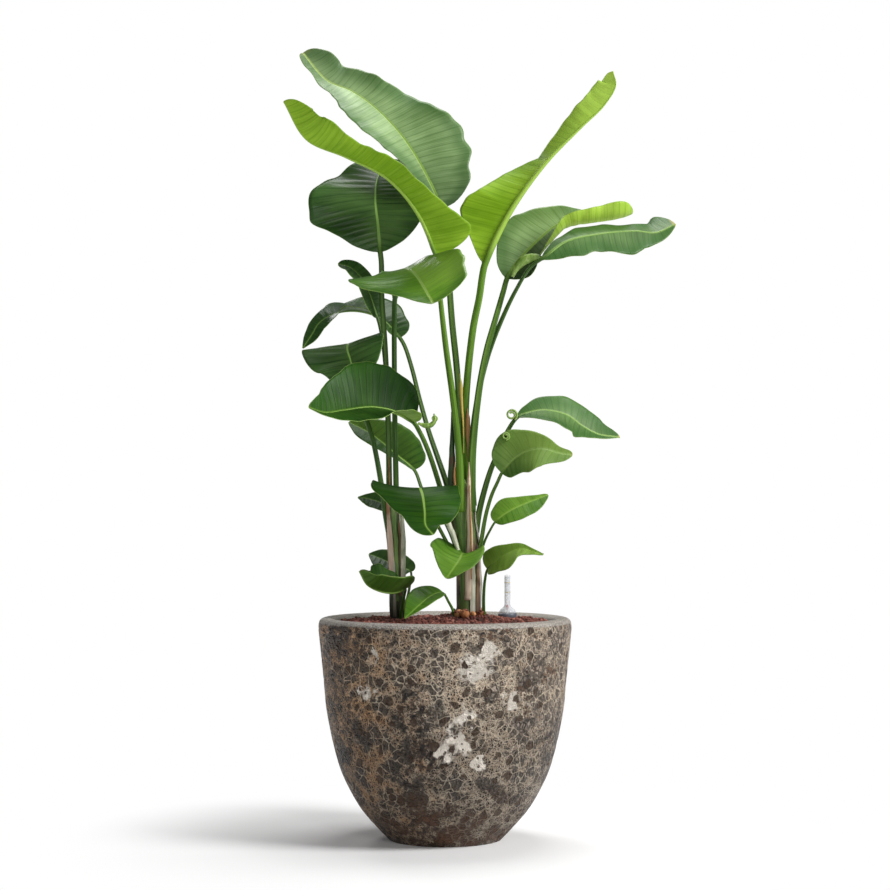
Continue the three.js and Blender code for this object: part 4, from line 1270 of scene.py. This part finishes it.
# %% Scrolls at the foot of blades
SCROLLS = [
    # x, y, z of the middle, outer radius, depth, start angle, look
    (115, 34, 722, 10.5, 14, -60, "grey"),
    (-18, -6, 714, 5.2, 10, -120, "shade"),
    (104, 2, 684, 7.2, 10, -90, "mild"),
]
SCROLL = {"columns": 6, "rows": 60, "wound": 560, "tighten": 0.62, "bulge": 0.12, "thickness": 2.6}


def make_scroll(number, x, y, z, radius, depth, start, look):
    bm = new_grid(SCROLL["columns"], SCROLL["rows"])
    light_and_shade_layer = bm.verts.layers.float.new("leaf_light_and_shade")
    for vert in bm.verts:
        w = (vert.co.y + 1) / 2
        angle = math.radians(start + SCROLL["wound"] * w)
        reach = radius * (1 - SCROLL["tighten"] * w) * (1 - SCROLL["bulge"] * vert.co.x ** 2)
        place = (x + reach * math.cos(angle), y + depth / 2 * vert.co.x, z + reach * math.sin(angle))
        vert.co = Vector(place) * MM
        # A scroll keeps the plain tone, with no painted light or shade
        vert[light_and_shade_layer] = 1.0
    scroll = finish_piece("scroll_%02d" % number, bm, LEAF_MATERIALS[look])
    thicken(scroll, SCROLL["thickness"], offset=0, material_step=1)


for number, row in enumerate(SCROLLS, start=1):
    make_scroll(number, *row)
print("scrolls:", len(SCROLLS))

# %% [markdown]
# ## The planter
# The planter is a thick round pot. Its glaze foamed in the kiln: bubbles burst and left dark craters in a net
# of raised, pale ridges. The shape is a profile that is spun round the axis. The craters could be bump only,
# but the outline and the side light show their depth, so the wall is fine enough to carry them as shape.
# Where the glaze foamed to a pale crust is worked out there too, and kept on each point for the colour.

# %% A turned shape
def turned(profile, steps, centre=(0, 0)):
    bm = bmesh.new()
    verts = [bm.verts.new((r * MM, 0, z * MM)) for r, z in profile]
    edges = [bm.edges.new(pair) for pair in zip(verts, verts[1:])]
    bmesh.ops.spin(
        bm, geom=verts + edges, axis=(0, 0, 1), cent=(0, 0, 0),
        steps=steps, angle=2 * math.pi, use_merge=True,
    )
    bmesh.ops.remove_doubles(bm, verts=bm.verts, dist=MERGE)
    bmesh.ops.recalc_face_normals(bm, faces=bm.faces)
    bmesh.ops.translate(bm, verts=bm.verts, vec=(centre[0] * MM, centre[1] * MM, 0))
    return bm


def smooth_profile(points, step):
    """A smooth profile through the points, with a point about every step millimetres."""
    line = line_through([(r, 0, z) for r, z in points])
    count = max(round(line[1][-1] / step), 1)
    places = [place_on(line, line[1][-1] * i / count)[0] for i in range(count + 1)]
    return [(p.x, p.z) for p in places]


# %% The planter's profile
WALL = [(96, 0), (113.4, 18), (141.3, 50), (163.4, 87), (180.3, 126), (201, 215), (207, 274), (215.5, 354)]
LIP = [(215.4, 354), (215.3, 363), (213.6, 370), (208.5, 374), (199, 375), (185, 370), (178.5, 352)]
INSIDE = [(178.5, 352), (172, 300), (165, 215), (150, 130), (118, 70), (60, 45)]
POT = {"steps": 540, "profile_step": 2.6, "base": 90, "floor": 42}
# Craters fade out between the first two heights, and from the third up they are pressed in from above
LIP_FROM, LIP_TO = 362, 368
FLAT_FROM = 360
PLAIN = {"base": 91, "bore": 182, "foot": 90, "slope": 0.75, "on_lip": 0.85}


def stays_plain(radius, z):
    """The base and the inner wall have no craters."""
    inside = z < LIP_FROM and radius < min(PLAIN["bore"], PLAIN["foot"] + PLAIN["slope"] * z)
    return radius < PLAIN["base"] or inside


# %% Craters of the planter
CRATER = {
    "wide": 27.0, "near": 11.0, "wide_depth": 1.9, "near_depth": 0.9, "zone": 52,
    "slow_push": (18, 0.3), "quick_push": (6, 0.1), "near_push": 1.5, "under_pale": 0.6,
}
GRAIN = {"height": 0.5, "length": 5, "raise": 0.1}
PALE = {"length": 60, "share": 0.3, "slow_push": (20, 16), "quick_push": (7, 5)}
PALE_PATCHES = [
    # middle as x, y, z, and size
    ((48, -200, 305), 30), ((66, -198, 325), 18), ((16, -185, 190), 24), ((28, -190, 225), 20),
    ((-4, -180, 165), 22), ((-128, -160, 262), 18), ((56, -180, 150), 15), ((112, -170, 250), 15),
    ((-112, -175, 318), 12),
]


def pushed(place, length, amount):
    """A push to some side, from a noise whose features have the given length."""
    return noise.noise_vector(place / length) * amount


def cell_bowl(place, high):
    """How deep a place lies in its cell: 0 at the cell's edge, and 1 where it is high or more inside."""
    distances = noise.voronoi(place)[0]
    return smooth_step(0.03, high, distances[1] - distances[0])


def crater_depth(place, pale):
    """Depth of the craters at a place, in millimetres. Large ones lie in some zones, small ones between."""
    push = pushed(place, *CRATER["slow_push"]) + pushed(place, *CRATER["quick_push"])
    zone = smooth_step(0.08, 0.3, noise.noise(place / CRATER["zone"] + Vector((7, 3, 1))))
    wide = cell_bowl(place / CRATER["wide"] + push, 0.4) * zone
    near = cell_bowl(place / CRATER["near"] + push * CRATER["near_push"], 0.5)
    near *= (1 - zone) * (1 - CRATER["under_pale"] * pale)
    return CRATER["wide_depth"] * wide + CRATER["near_depth"] * near


def pale_share(place):
    """Where the glaze foamed most, from listed patches and a slow noise."""
    place = place + pushed(place, *PALE["slow_push"]) + pushed(place, *PALE["quick_push"])
    share = PALE["share"] * smooth_step(0.3, 0.55, noise.noise(place / PALE["length"] + Vector((2, 9, 4))))
    for centre, size in PALE_PATCHES:
        far = (place - Vector(centre)).length / size
        share = max(share, math.exp(-far * far))
    return share


# %% Make the planter
def make_pot():
    wall = smooth_profile(WALL, POT["profile_step"])
    lip = smooth_profile(LIP, POT["profile_step"])
    profile = [(0, 0), (POT["base"], 0), *wall, *lip[1:], *INSIDE[1:], (0, POT["floor"])]
    bm = turned(profile, POT["steps"])
    pale_layer = bm.verts.layers.float.new("glaze_pale")
    for vert in bm.verts:
        place = vert.co / MM
        if stays_plain(math.hypot(place.x, place.y), place.z):
            continue
        pale = pale_share(place)
        on_lip = smooth_step(LIP_FROM, LIP_TO, place.z)
        depth = crater_depth(place, pale) * (1 - PLAIN["on_lip"] * on_lip)
        depth += GRAIN["height"] * noise.noise(place / GRAIN["length"]) - GRAIN["raise"]
        normal = Vector((place.x, place.y, 0)).normalized() if place.z < FLAT_FROM else Vector((0, 0, 1))
        vert.co -= normal * max(depth, 0) * MM
        vert[pale_layer] = pale
    finish_piece("pot_glazed", bm, [glaze_material()], ["pot"])


# %% [markdown]
# The glaze has two faces. Where bubbles burst, dark round holes stand in a net of thin, pale ridges. Where
# they only rose, small grey-brown domes are parted by dark cracks. Both come from Voronoi cells of three
# sizes: the distance to a cell's edge gives the ridge or the crack, and the distance to its middle gives the
# round hole. Noise warps them and breaks the ridges up. Chalky patches cover the net where it foamed most,
# rust comes up from the foot, and the lip is nearly plain.

# %% Cells of the glaze
def bent_coords(tree, coords, scale, amount):
    """Coordinates that are pushed about by a noise, so that the cells lose their straight sides."""
    inputs = {"Vector": coords, "Scale": scale, "Detail": 2.0}
    push = add_node(tree, "ShaderNodeTexNoise", inputs).outputs["Color"]
    push = vector_math(tree, "SUBTRACT", {0: push, 1: (0.5, 0.5, 0.5)})[0]
    push = vector_math(tree, "SCALE", {0: push, "Scale": amount})[0]
    return vector_math(tree, "ADD", {0: coords, 1: push})[0]


def cells_of(tree, coords, scale):
    """Distance to the cell's edge, distance to its middle, and its own random shade."""
    place = {"Vector": bent_coords(tree, coords, scale * 0.7, 1.1 / scale), "Scale": scale}
    apart = add_node(tree, "ShaderNodeTexVoronoi", place, feature="DISTANCE_TO_EDGE").outputs["Distance"]
    middle = add_node(tree, "ShaderNodeTexVoronoi", place, feature="F1").outputs
    return apart, middle["Distance"], parts_of(tree, middle["Color"])[0]


def glaze_fields(tree):
    """The place, the noises and the cells that all masks of the glaze are made from."""
    coords = object_place(tree)
    x, _, z = parts_of(tree, coords)
    fields = {"x": x, "z": z, "pale": stored(tree, "glaze_pale")}
    fields["speck"] = noise_value(tree, coords, 420.0, 3.0, 0.7)
    fields["spread"] = noise_value(tree, coords, 95.0, 3.0, 0.6)
    fields["patch"] = noise_value(tree, coords, 30.0, 4.0, 0.6)
    fields["cloud"] = noise_value(tree, coords, 13.0, 3.0)
    # How far right a place lies, stirred by patches: domes and ridges are paler there, partly the glaze's own
    # colour and partly painted light
    fields["right"] = times_plus(tree, x, 1.5, fields["patch"])
    for size, scale in {"fine": 230.0, "dome": 125.0, "wide": 58.0}.items():
        fields[size], fields[size + "_middle"], fields[size + "_own"] = cells_of(tree, coords, scale)
    return fields


# %% [markdown]
# The ground colour comes first: dark grit, and grey-brown domes in the patches that only rose. It is darker
# at the foot, and painted lighter at the upper right, where the light falls.

# %% The ground and the domes
DARKEST = rgb(0.004, 0.0025, 0.0015)


def glaze_ground(tree, f):
    """Ground colour, where it is domed, and how low down a place is."""
    grit = smooth_range(tree, times_plus(tree, f["speck"], 1.3, f["fine_own"]), 0.75, 1.5)
    ground = mix_colour(tree, grit, rgb(0.004, 0.003, 0.002), rgb(0.08, 0.045, 0.024))
    warm = mix_colour(tree, f["dome_own"], rgb(0.01, 0.006, 0.004), rgb(0.1, 0.066, 0.044))
    cool = mix_colour(tree, f["dome_own"], rgb(0.02, 0.017, 0.014), rgb(0.31, 0.275, 0.24))
    # Paler, greyer domes to the right: partly the glaze's own colour, partly painted light
    dome = mix_colour(tree, smooth_range(tree, f["right"], 0.5, 0.75), warm, cool)
    dome = mix_colour(tree, smooth_range(tree, f["speck"], 0.35, 0.7, 0.0, 0.6), dome, ground)
    dome = mix_colour(tree, smooth_range(tree, f["dome"], 0.05, 0.2), DARKEST, dome)
    domed = smooth_range(tree, f["patch"], 0.46, 0.52)
    colour = mix_colour(tree, domed, ground, dome)
    low = smooth_range(tree, times_plus(tree, f["patch"], 0.12, f["z"]), 0.2, 0.34, 0.75, 0.0)
    colour = mix_colour(tree, low, colour, rgb(0.42, 0.36, 0.32), "MULTIPLY")
    # Painted light: the ground is lightened toward the upper right, where the main light falls
    painted_sunlight = times_plus(tree, f["z"], 1.2, times(tree, f["x"], 1.6))
    painted_sunlight = smooth_range(tree, times_plus(tree, f["patch"], 0.4, painted_sunlight), 0.5, 0.95)
    colour = mix_colour(tree, painted_sunlight, colour, rgb(2.3, 2.1, 1.95), "MULTIPLY")
    return colour, domed, low


# %% The net of ridges
def glaze_net(tree, f, low):
    """Where the ridges are, and their colour: tan on the left and cream on the right, partly painted light.
    """
    tan = mix_colour(tree, f["spread"], rgb(0.45, 0.2, 0.08), rgb(0.98, 0.66, 0.38))
    cream = mix_colour(tree, f["spread"], rgb(0.6, 0.42, 0.26), rgb(1.0, 0.9, 0.74))
    ridge_colour = mix_colour(tree, smooth_range(tree, f["right"], 0.15, 0.5), tan, cream)
    fine = smooth_range(tree, f["fine"], 0.02, 0.14, 1.0, 0.0)
    dome = smooth_range(tree, f["dome"], 0.02, 0.12, 1.0, 0.0)
    wide = smooth_range(tree, f["wide"], 0.015, 0.075, 1.0, 0.0)
    wide = times(tree, wide, smooth_range(tree, f["cloud"], 0.4, 0.55))
    net = math_node(tree, "MAXIMUM", fine, dome)
    net = times(tree, net, smooth_range(tree, f["patch"], 0.46, 0.54, 1.0, 0.15))
    net = math_node(tree, "MAXIMUM", net, wide)
    broken = smooth_range(tree, math_node(tree, "ADD", f["spread"], f["cloud"]), 0.76, 0.98)
    broken = times(tree, broken, smooth_range(tree, f["speck"], 0.3, 0.55, 0.45, 1.0))
    net = times(tree, net, broken)
    return times(tree, net, smooth_range(tree, low, 0.0, 0.75, 1.0, 0.6)), ridge_colour


# %% Burst bubbles and chalk
def glaze_pits(tree, f):
    """Where large bubbles burst, and their colour."""
    pit = smooth_range(tree, times_plus(tree, f["wide_own"], -0.25, f["wide_middle"]), 0.16, 0.26, 1.0, 0.0)
    pit = times(tree, pit, smooth_range(tree, f["wide_own"], 0.8, 0.83))
    return pit, mix_colour(tree, f["speck"], rgb(0.008, 0.004, 0.002), rgb(0.11, 0.058, 0.028))


def glaze_chalk(tree, f, pit):
    """Where the pale crust lies: not in the pits, and not in the small holes."""
    solid = smooth_range(tree, times_plus(tree, f["dome_own"], -0.42, f["dome_middle"]), 0.0, 0.07)
    solid = times(tree, solid, math_node(tree, "SUBTRACT", 1.0, pit))
    return times(tree, smooth_range(tree, times_plus(tree, f["spread"], 0.7, f["pale"]), 0.72, 0.95), solid)


# %% The glaze
LIP_DARK = rgb(0.15, 0.13, 0.11)
LIP_LIGHT = rgb(0.52, 0.48, 0.43)


def glaze_material():
    material, tree = new_material("lava_glaze")
    f = glaze_fields(tree)
    colour, domed, low = glaze_ground(tree, f)
    net, ridge_colour = glaze_net(tree, f, low)
    colour = mix_colour(tree, net, colour, ridge_colour)
    pit, pit_colour = glaze_pits(tree, f)
    colour = mix_colour(tree, times(tree, pit, 0.85), colour, pit_colour)
    chalk = glaze_chalk(tree, f, pit)
    colour = mix_colour(tree, chalk, colour, rgb(0.88, 0.8, 0.7))
    rust = smooth_range(tree, times_plus(tree, f["cloud"], 0.16, f["z"]), 0.09, 0.2, 0.8, 0.0)
    rust = times(tree, rust, smooth_range(tree, f["patch"], 0.4, 0.62))
    colour = mix_colour(tree, rust, colour, rgb(0.11, 0.045, 0.016))
    lip = smooth_range(tree, times_plus(tree, f["spread"], 0.006, f["z"]), 0.3685, 0.3715)
    stone = mix_colour(tree, smooth_range(tree, f["speck"], 0.36, 0.64), LIP_DARK, LIP_LIGHT)
    colour = mix_colour(tree, lip, colour, stone)

    rise = times(tree, smooth_range(tree, f["dome"], 0.0, 0.32), domed)
    height = times_plus(tree, net, 0.9, rise)
    height = times_plus(tree, chalk, 0.5, height)
    height = times_plus(tree, pit, -1.2, height)
    height = times_plus(tree, f["speck"], 0.4, height)
    height = mix_colour(tree, lip, height, times(tree, f["speck"], 0.5))
    rough = smooth_range(tree, f["speck"], 0.35, 0.65, 0.3, 0.6)
    shade(tree, {"Base Color": colour, "Roughness": rough, "Specular IOR Level": 0.4}, height, 1.0, 0.004)
    return material


make_pot()
print("planter wall: steps", POT["steps"])

# %% [markdown]
# ## The granules
# The planter is filled with small burnt clay granules. They lie loose, so each one is a stone of its own, an
# icosphere of twenty faces, squashed and turned at random. Particles would do it in the editor, but one mesh
# keeps them as real shapes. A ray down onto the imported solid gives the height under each.

# %% The ground under the granules
GRANULE = {
    "count": 4200, "small": 2.1, "large": 3.5, "reach": 178.0, "clear": -0.5, "rise": (-0.3, 0.5),
    "batch": 200, "seed": 11,
}
ABOVE_ALL = 0.5
STEMS = ("crown", "leaf", "gauge_housing")
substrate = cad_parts["substrate"]


def tree_of(node):
    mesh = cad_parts[node].data
    return BVHTree.FromPolygons([v.co for v in mesh.vertices], [p.vertices for p in mesh.polygons])


def ground_height(tree, x, y):
    hit = tree.ray_cast(Vector((x, y, ABOVE_ALL)), Vector((0, 0, -1)))[0]
    return hit.z if hit else None


# %% One stone
STONE = {"depth": (0.7, 1), "height": (0.6, 0.95)}


def add_stone(bm, layer, centre, size, dice, tone, subdivisions=1):
    turn = Matrix.Rotation(dice.uniform(0, 2 * math.pi), 4, "Z")
    turn @= Matrix.Rotation(dice.uniform(0, math.pi), 4, "X")
    shape = Matrix.Diagonal((1, dice.uniform(*STONE["depth"]), dice.uniform(*STONE["height"]), 1))
    matrix = Matrix.Translation(centre) @ turn @ shape
    made = bmesh.ops.create_icosphere(bm, subdivisions=subdivisions, radius=size * MM, matrix=matrix)
    for vert in made["verts"]:
        vert[layer] = tone


def join_mesh(bm, part):
    """Adds one bmesh to another."""
    mesh = bpy.data.meshes.new("part")
    part.to_mesh(mesh)
    part.free()
    bm.from_mesh(mesh)
    bpy.data.meshes.remove(mesh)


# %% Scatter the granules
def make_granules():
    """Small heaps are made and joined, because each new stone takes longer in a large mesh."""
    dice = random.Random(GRANULE["seed"])
    ground = tree_of("substrate")
    stems = [tree_of(name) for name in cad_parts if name.startswith(STEMS)]
    bm = bmesh.new()
    bm.verts.layers.float.new("stone_tone")
    places = []
    for _ in range(GRANULE["count"]):
        reach = GRANULE["reach"] * math.sqrt(dice.random())
        turn = dice.uniform(0, 2 * math.pi)
        x, y = reach * math.cos(turn) * MM, reach * math.sin(turn) * MM
        size = dice.uniform(GRANULE["small"], GRANULE["large"])
        z = ground_height(ground, x, y)
        if z is None:
            continue
        centre = Vector((x, y, z + dice.uniform(*GRANULE["rise"]) * size * MM))
        if any(stem.find_nearest(centre, (size + GRANULE["clear"]) * MM)[0] for stem in stems):
            continue
        places.append((centre, size))
    for start in range(0, len(places), GRANULE["batch"]):
        heap = bmesh.new()
        layer = heap.verts.layers.float.new("stone_tone")
        for centre, size in places[start:start + GRANULE["batch"]]:
            add_stone(heap, layer, centre, size, dice, dice.random())
        join_mesh(bm, heap)
    print("granules:", len(places))
    finish_piece("granules", bm, [GRANULE_FINISH])


# %% [markdown]
# Each granule has its own shade of brick red, from nearly black to pale, and a dusty, porous skin.

# %% The granules' finish
def stone_material(name, dark, middle, light):
    material, tree = new_material(name)
    tone = stored(tree, "stone_tone")
    pores = noise_value(tree, object_place(tree), 900.0, 3.0, 0.7)
    colour = mix_colour(tree, smooth_range(tree, tone, 0.0, 0.55), dark, middle)
    colour = mix_colour(tree, smooth_range(tree, tone, 0.6, 1.0), colour, light)
    colour = mix_colour(tree, smooth_range(tree, pores, 0.5, 0.75, 0.0, 0.35), colour, dark)
    shade(tree, {"Base Color": colour, "Roughness": 0.92}, pores, 0.5, 0.0008)
    return material


BRICK = [rgb(0.06, 0.018, 0.013), rgb(0.21, 0.062, 0.045), rgb(0.4, 0.16, 0.12)]
GRANULE_FINISH = stone_material("granule", *BRICK)
substrate.data.materials.clear()
substrate.data.materials.append(stone_material("granule", *BRICK))
make_granules()

# %% [markdown]
# Larger balls of the same clay lie round the right clump. The solids hold them too, so each ball here gets
# the same place and nearly the same size, from the same series of numbers.

# %% Clay balls round the right clump
CLAY = {
    "radius": 7.5, "spread": (0.8, 0.4), "count": 10, "ring": 27, "gap": 2, "squeeze": 0.62,
    "x": 41, "y": 25, "level": 381, "cover": 1.08, "lump": 0.9, "lumps": 240, "sizes": 3, "seed": 5,
}


def seeded(state):
    """The part's own series of numbers from 0 to 1."""
    while True:
        state = (state * 1664525 + 1013904223) % 4294967296
        yield state / 4294967296


def make_clay_balls():
    sizes = seeded(CLAY["sizes"])
    dice = random.Random(CLAY["seed"])
    least, more = CLAY["spread"]
    bm = bmesh.new()
    layer = bm.verts.layers.float.new("stone_tone")
    for i in range(CLAY["count"]):
        angle = 2 * math.pi * i / CLAY["count"]
        radius = CLAY["radius"] * (least + more * next(sizes))
        # The next number turns the solid ball, and isn't needed here
        next(sizes)
        reach = CLAY["ring"] + radius + CLAY["gap"]
        x = CLAY["x"] + CLAY["squeeze"] * reach * math.cos(angle)
        centre = Vector((x, CLAY["y"] + reach * math.sin(angle), CLAY["level"])) * MM
        add_stone(bm, layer, centre, radius * CLAY["cover"], dice, dice.random(), 3)
    for vert in bm.verts:
        vert.co += noise.noise_vector(vert.co * CLAY["lumps"]) * CLAY["lump"] * MM
    ball = stone_material("clay_ball", rgb(0.2, 0.06, 0.02), rgb(0.42, 0.16, 0.06), rgb(0.6, 0.3, 0.13))
    finish_piece("clay_balls", bm, [ball])


make_clay_balls()
print("clay balls:", CLAY["count"])

# %% [markdown]
# ## The water gauge
# A dark ring holds a clear dome with a thin reading tube. A float in the pipe below lifts a red marker in the
# tube. The solids are turned with few sides, so round ones with the same profiles stand for them.

# %% Gauge sizes
GAUGE = {"x": 109, "y": 85, "ring_top": 377, "glue": 0.35, "steps": 64, "thin_steps": 48}
SEAT = GAUGE["ring_top"] + GAUGE["glue"]
HOUSING = [
    (4, 150), (11, 150), (11, 369), (16.2, 370), (16.5, 370.6), (16.5, 375.6), (15.5, 377), (8.6, 377),
    (8.6, 153), (4, 153), (4, 150),
]
WINDOW = [
    (13, SEAT), (15, SEAT), (14.5, SEAT + 3), (12.6, SEAT + 6.2), (9.2, SEAT + 9), (6.4, SEAT + 11.6),
    (5.2, SEAT + 15), (5.2, 442), (4.6, 443.4), (3.7, 444), (0, 444),
]
WINDOW_INSIDE = [(0, 441), (3.8, 441), (3.8, SEAT + 14), (7.2, SEAT + 8), (12.5, SEAT + 2), (13, SEAT)]
FLOAT = [
    (0, 153.35), (6.4, 153.35), (7.4, 154.4), (7.4, 210.4), (4.4, 213.3), (1.2, 213.3), (1.2, 383.65),
    (0, 383.65),
]
MARKER = [(0, 384), (2.1, 384), (2.5, 384.6), (2.5, 390.6), (1.5, 392), (0, 392)]
TICK = {"inner": 5.25, "outer": 5.5, "half_height": 0.35, "places": [414, 431]}


# %% Gauge finishes
def plain_plastic(name, colour, roughness):
    material, tree = new_material(name)
    grain = noise_value(tree, object_place(tree), 1400.0, 2.0)
    tint = mix_colour(tree, smooth_range(tree, grain, 0.3, 0.7, 0.0, 0.25), colour, rgb(0.5, 0.5, 0.5))
    rough = smooth_range(tree, grain, 0.3, 0.7, roughness - 0.06, roughness + 0.06)
    shade(tree, {"Base Color": tint, "Roughness": rough}, grain, 0.1, 0.0003)
    return material


def clear_plastic(name, alpha):
    """Clear plastic as a thin coat of colour that lets most light through, which stays simple to export."""
    material, tree = new_material(name)
    haze = noise_value(tree, object_place(tree), 160.0, 3.0)
    # The coat covers more toward the outline, where it paints the reflection of the clear plastic; the pale
    # grey itself is partly the plastic's own haze
    facing = add_node(tree, "ShaderNodeLayerWeight", {"Blend": 0.45}).outputs["Facing"]
    see = times_plus(tree, facing, 0.5, alpha)
    haze = smooth_range(tree, haze, 0.4, 0.6)
    colour = mix_colour(tree, haze, rgb(0.62, 0.66, 0.72), rgb(0.82, 0.84, 0.87))
    shade(tree, {"Base Color": colour, "Roughness": 0.2, "Alpha": see})
    return material


HOUSING_FINISH = plain_plastic("gauge_ring", rgb(0.035, 0.045, 0.075), 0.38)
FLOAT_FINISH = plain_plastic("gauge_float_white", rgb(0.78, 0.78, 0.74), 0.5)
MARKER_FINISH = plain_plastic("gauge_marker_red", rgb(0.55, 0.012, 0.016), 0.35)
TICK_FINISH = plain_plastic("gauge_tick", rgb(0.75, 0.55, 0.12), 0.5)
WINDOW_FINISH = clear_plastic("gauge_clear", 0.22)


# %% Make the gauge
def make_turned(name, profile, steps, material, nodes, body="planter"):
    bm = turned(profile, steps, (GAUGE["x"], GAUGE["y"]))
    finish_piece(name, bm, [material], nodes, body)


def make_ticks():
    bm = bmesh.new()
    inner, outer = TICK["inner"], TICK["outer"]
    for z in TICK["places"]:
        low, high = z - TICK["half_height"], z + TICK["half_height"]
        section = [(inner, low), (outer, low), (outer, high), (inner, high), (inner, low)]
        join_mesh(bm, turned(section, GAUGE["thin_steps"], (GAUGE["x"], GAUGE["y"])))
    finish_piece("gauge_ticks", bm, [TICK_FINISH])


steps, thin_steps = GAUGE["steps"], GAUGE["thin_steps"]
make_turned("gauge_ring", HOUSING, steps, HOUSING_FINISH, ["gauge_housing"])
make_turned("gauge_dome", WINDOW + WINDOW_INSIDE, steps, WINDOW_FINISH, ["gauge_window"])
make_turned("gauge_float_round", FLOAT, thin_steps, FLOAT_FINISH, ["gauge_float"], "float")
make_turned("gauge_marker", MARKER, thin_steps, MARKER_FINISH, ["float_marker"], "float")
make_ticks()
print("gauge ticks:", len(TICK["places"]))

# %% [markdown]
# ## Floor and light
# The plant stands in a white studio. A wall behind it would stand in the way of a camera that goes round, so
# there is only a wide white floor that melts into a white world, and the planter's soft shadow lies on it to
# the left, because the large main light stands high on the right.

# %% The floor
FLOOR = {"half_width": 40, "cells": 8, "fade": (0.3, 0.68, 0.04, 1.0)}


def floor_material():
    material, tree = new_material("studio_floor")
    far = vector_math(tree, "LENGTH", {0: object_place(tree)})["Value"]
    fade = smooth_range(tree, far, *FLOOR["fade"])
    plain = add_node(tree, "ShaderNodeBsdfDiffuse", {"Color": rgb(0.95, 0.95, 0.95)}).outputs[0]
    glow = add_node(tree, "ShaderNodeEmission", {"Color": rgb(1, 1, 1), "Strength": 1.0}).outputs[0]
    # The floor glows white: faintly near the planter, painted light that lifts its shadow a little, and fully
    # farther out, where the glow fades the shadow away and meets the white world
    mixed = add_node(tree, "ShaderNodeMixShader", {0: fade, 1: plain, 2: glow}).outputs[0]
    add_node(tree, "ShaderNodeOutputMaterial", {"Surface": mixed})
    return material


bm = bmesh.new()
bmesh.ops.create_grid(bm, x_segments=FLOOR["cells"], y_segments=FLOOR["cells"], size=FLOOR["half_width"])
floor_mesh = bpy.data.meshes.new("floor")
bm.to_mesh(floor_mesh)
bm.free()
floor_mesh.materials.append(floor_material())
floor = bpy.data.objects.new("floor", floor_mesh)
scene.collection.objects.link(floor)
print("floor:", 2 * FLOOR["half_width"], "m wide")

# %% Lights and the white world
LIGHTS = {
    "key": {"place": (3.0, -1.5, 2.8), "size": 1.6, "power": 165},
    "top": {"place": (0.3, 0.8, 3.9), "size": 1.8, "power": 68},
    "front": {"place": (1.0, -3.6, 1.5), "size": 0.8, "power": 20},
    "back": {"place": (-1.2, 2.4, 2.4), "size": 1.0, "power": 18},
}
LAMPS_AIM = Vector((0, 0, 0.7))
AMBIENT = 0.12
for name, light in LIGHTS.items():
    data = bpy.data.lights.new(name, "AREA")
    data.shape = "DISK"
    data.size = light["size"]
    data.energy = light["power"]
    lamp = bpy.data.objects.new(name, data)
    lamp.location = light["place"]
    lamp.rotation_euler = (LAMPS_AIM - Vector(light["place"])).to_track_quat("-Z", "Y").to_euler()
    scene.collection.objects.link(lamp)

world = bpy.data.worlds.new("studio")
world.use_nodes = True
world.node_tree.nodes.clear()
seen = add_node(world.node_tree, "ShaderNodeLightPath").outputs["Is Camera Ray"]
strength = smooth_range(world.node_tree, seen, 0.0, 1.0, AMBIENT, 1.0)
sky = add_node(world.node_tree, "ShaderNodeBackground", {"Color": rgb(1, 1, 1), "Strength": strength})
add_node(world.node_tree, "ShaderNodeOutputWorld", {"Surface": sky.outputs[0]})
scene.world = world
scene.view_settings.view_transform = "Standard"
print("lights:", len(LIGHTS))
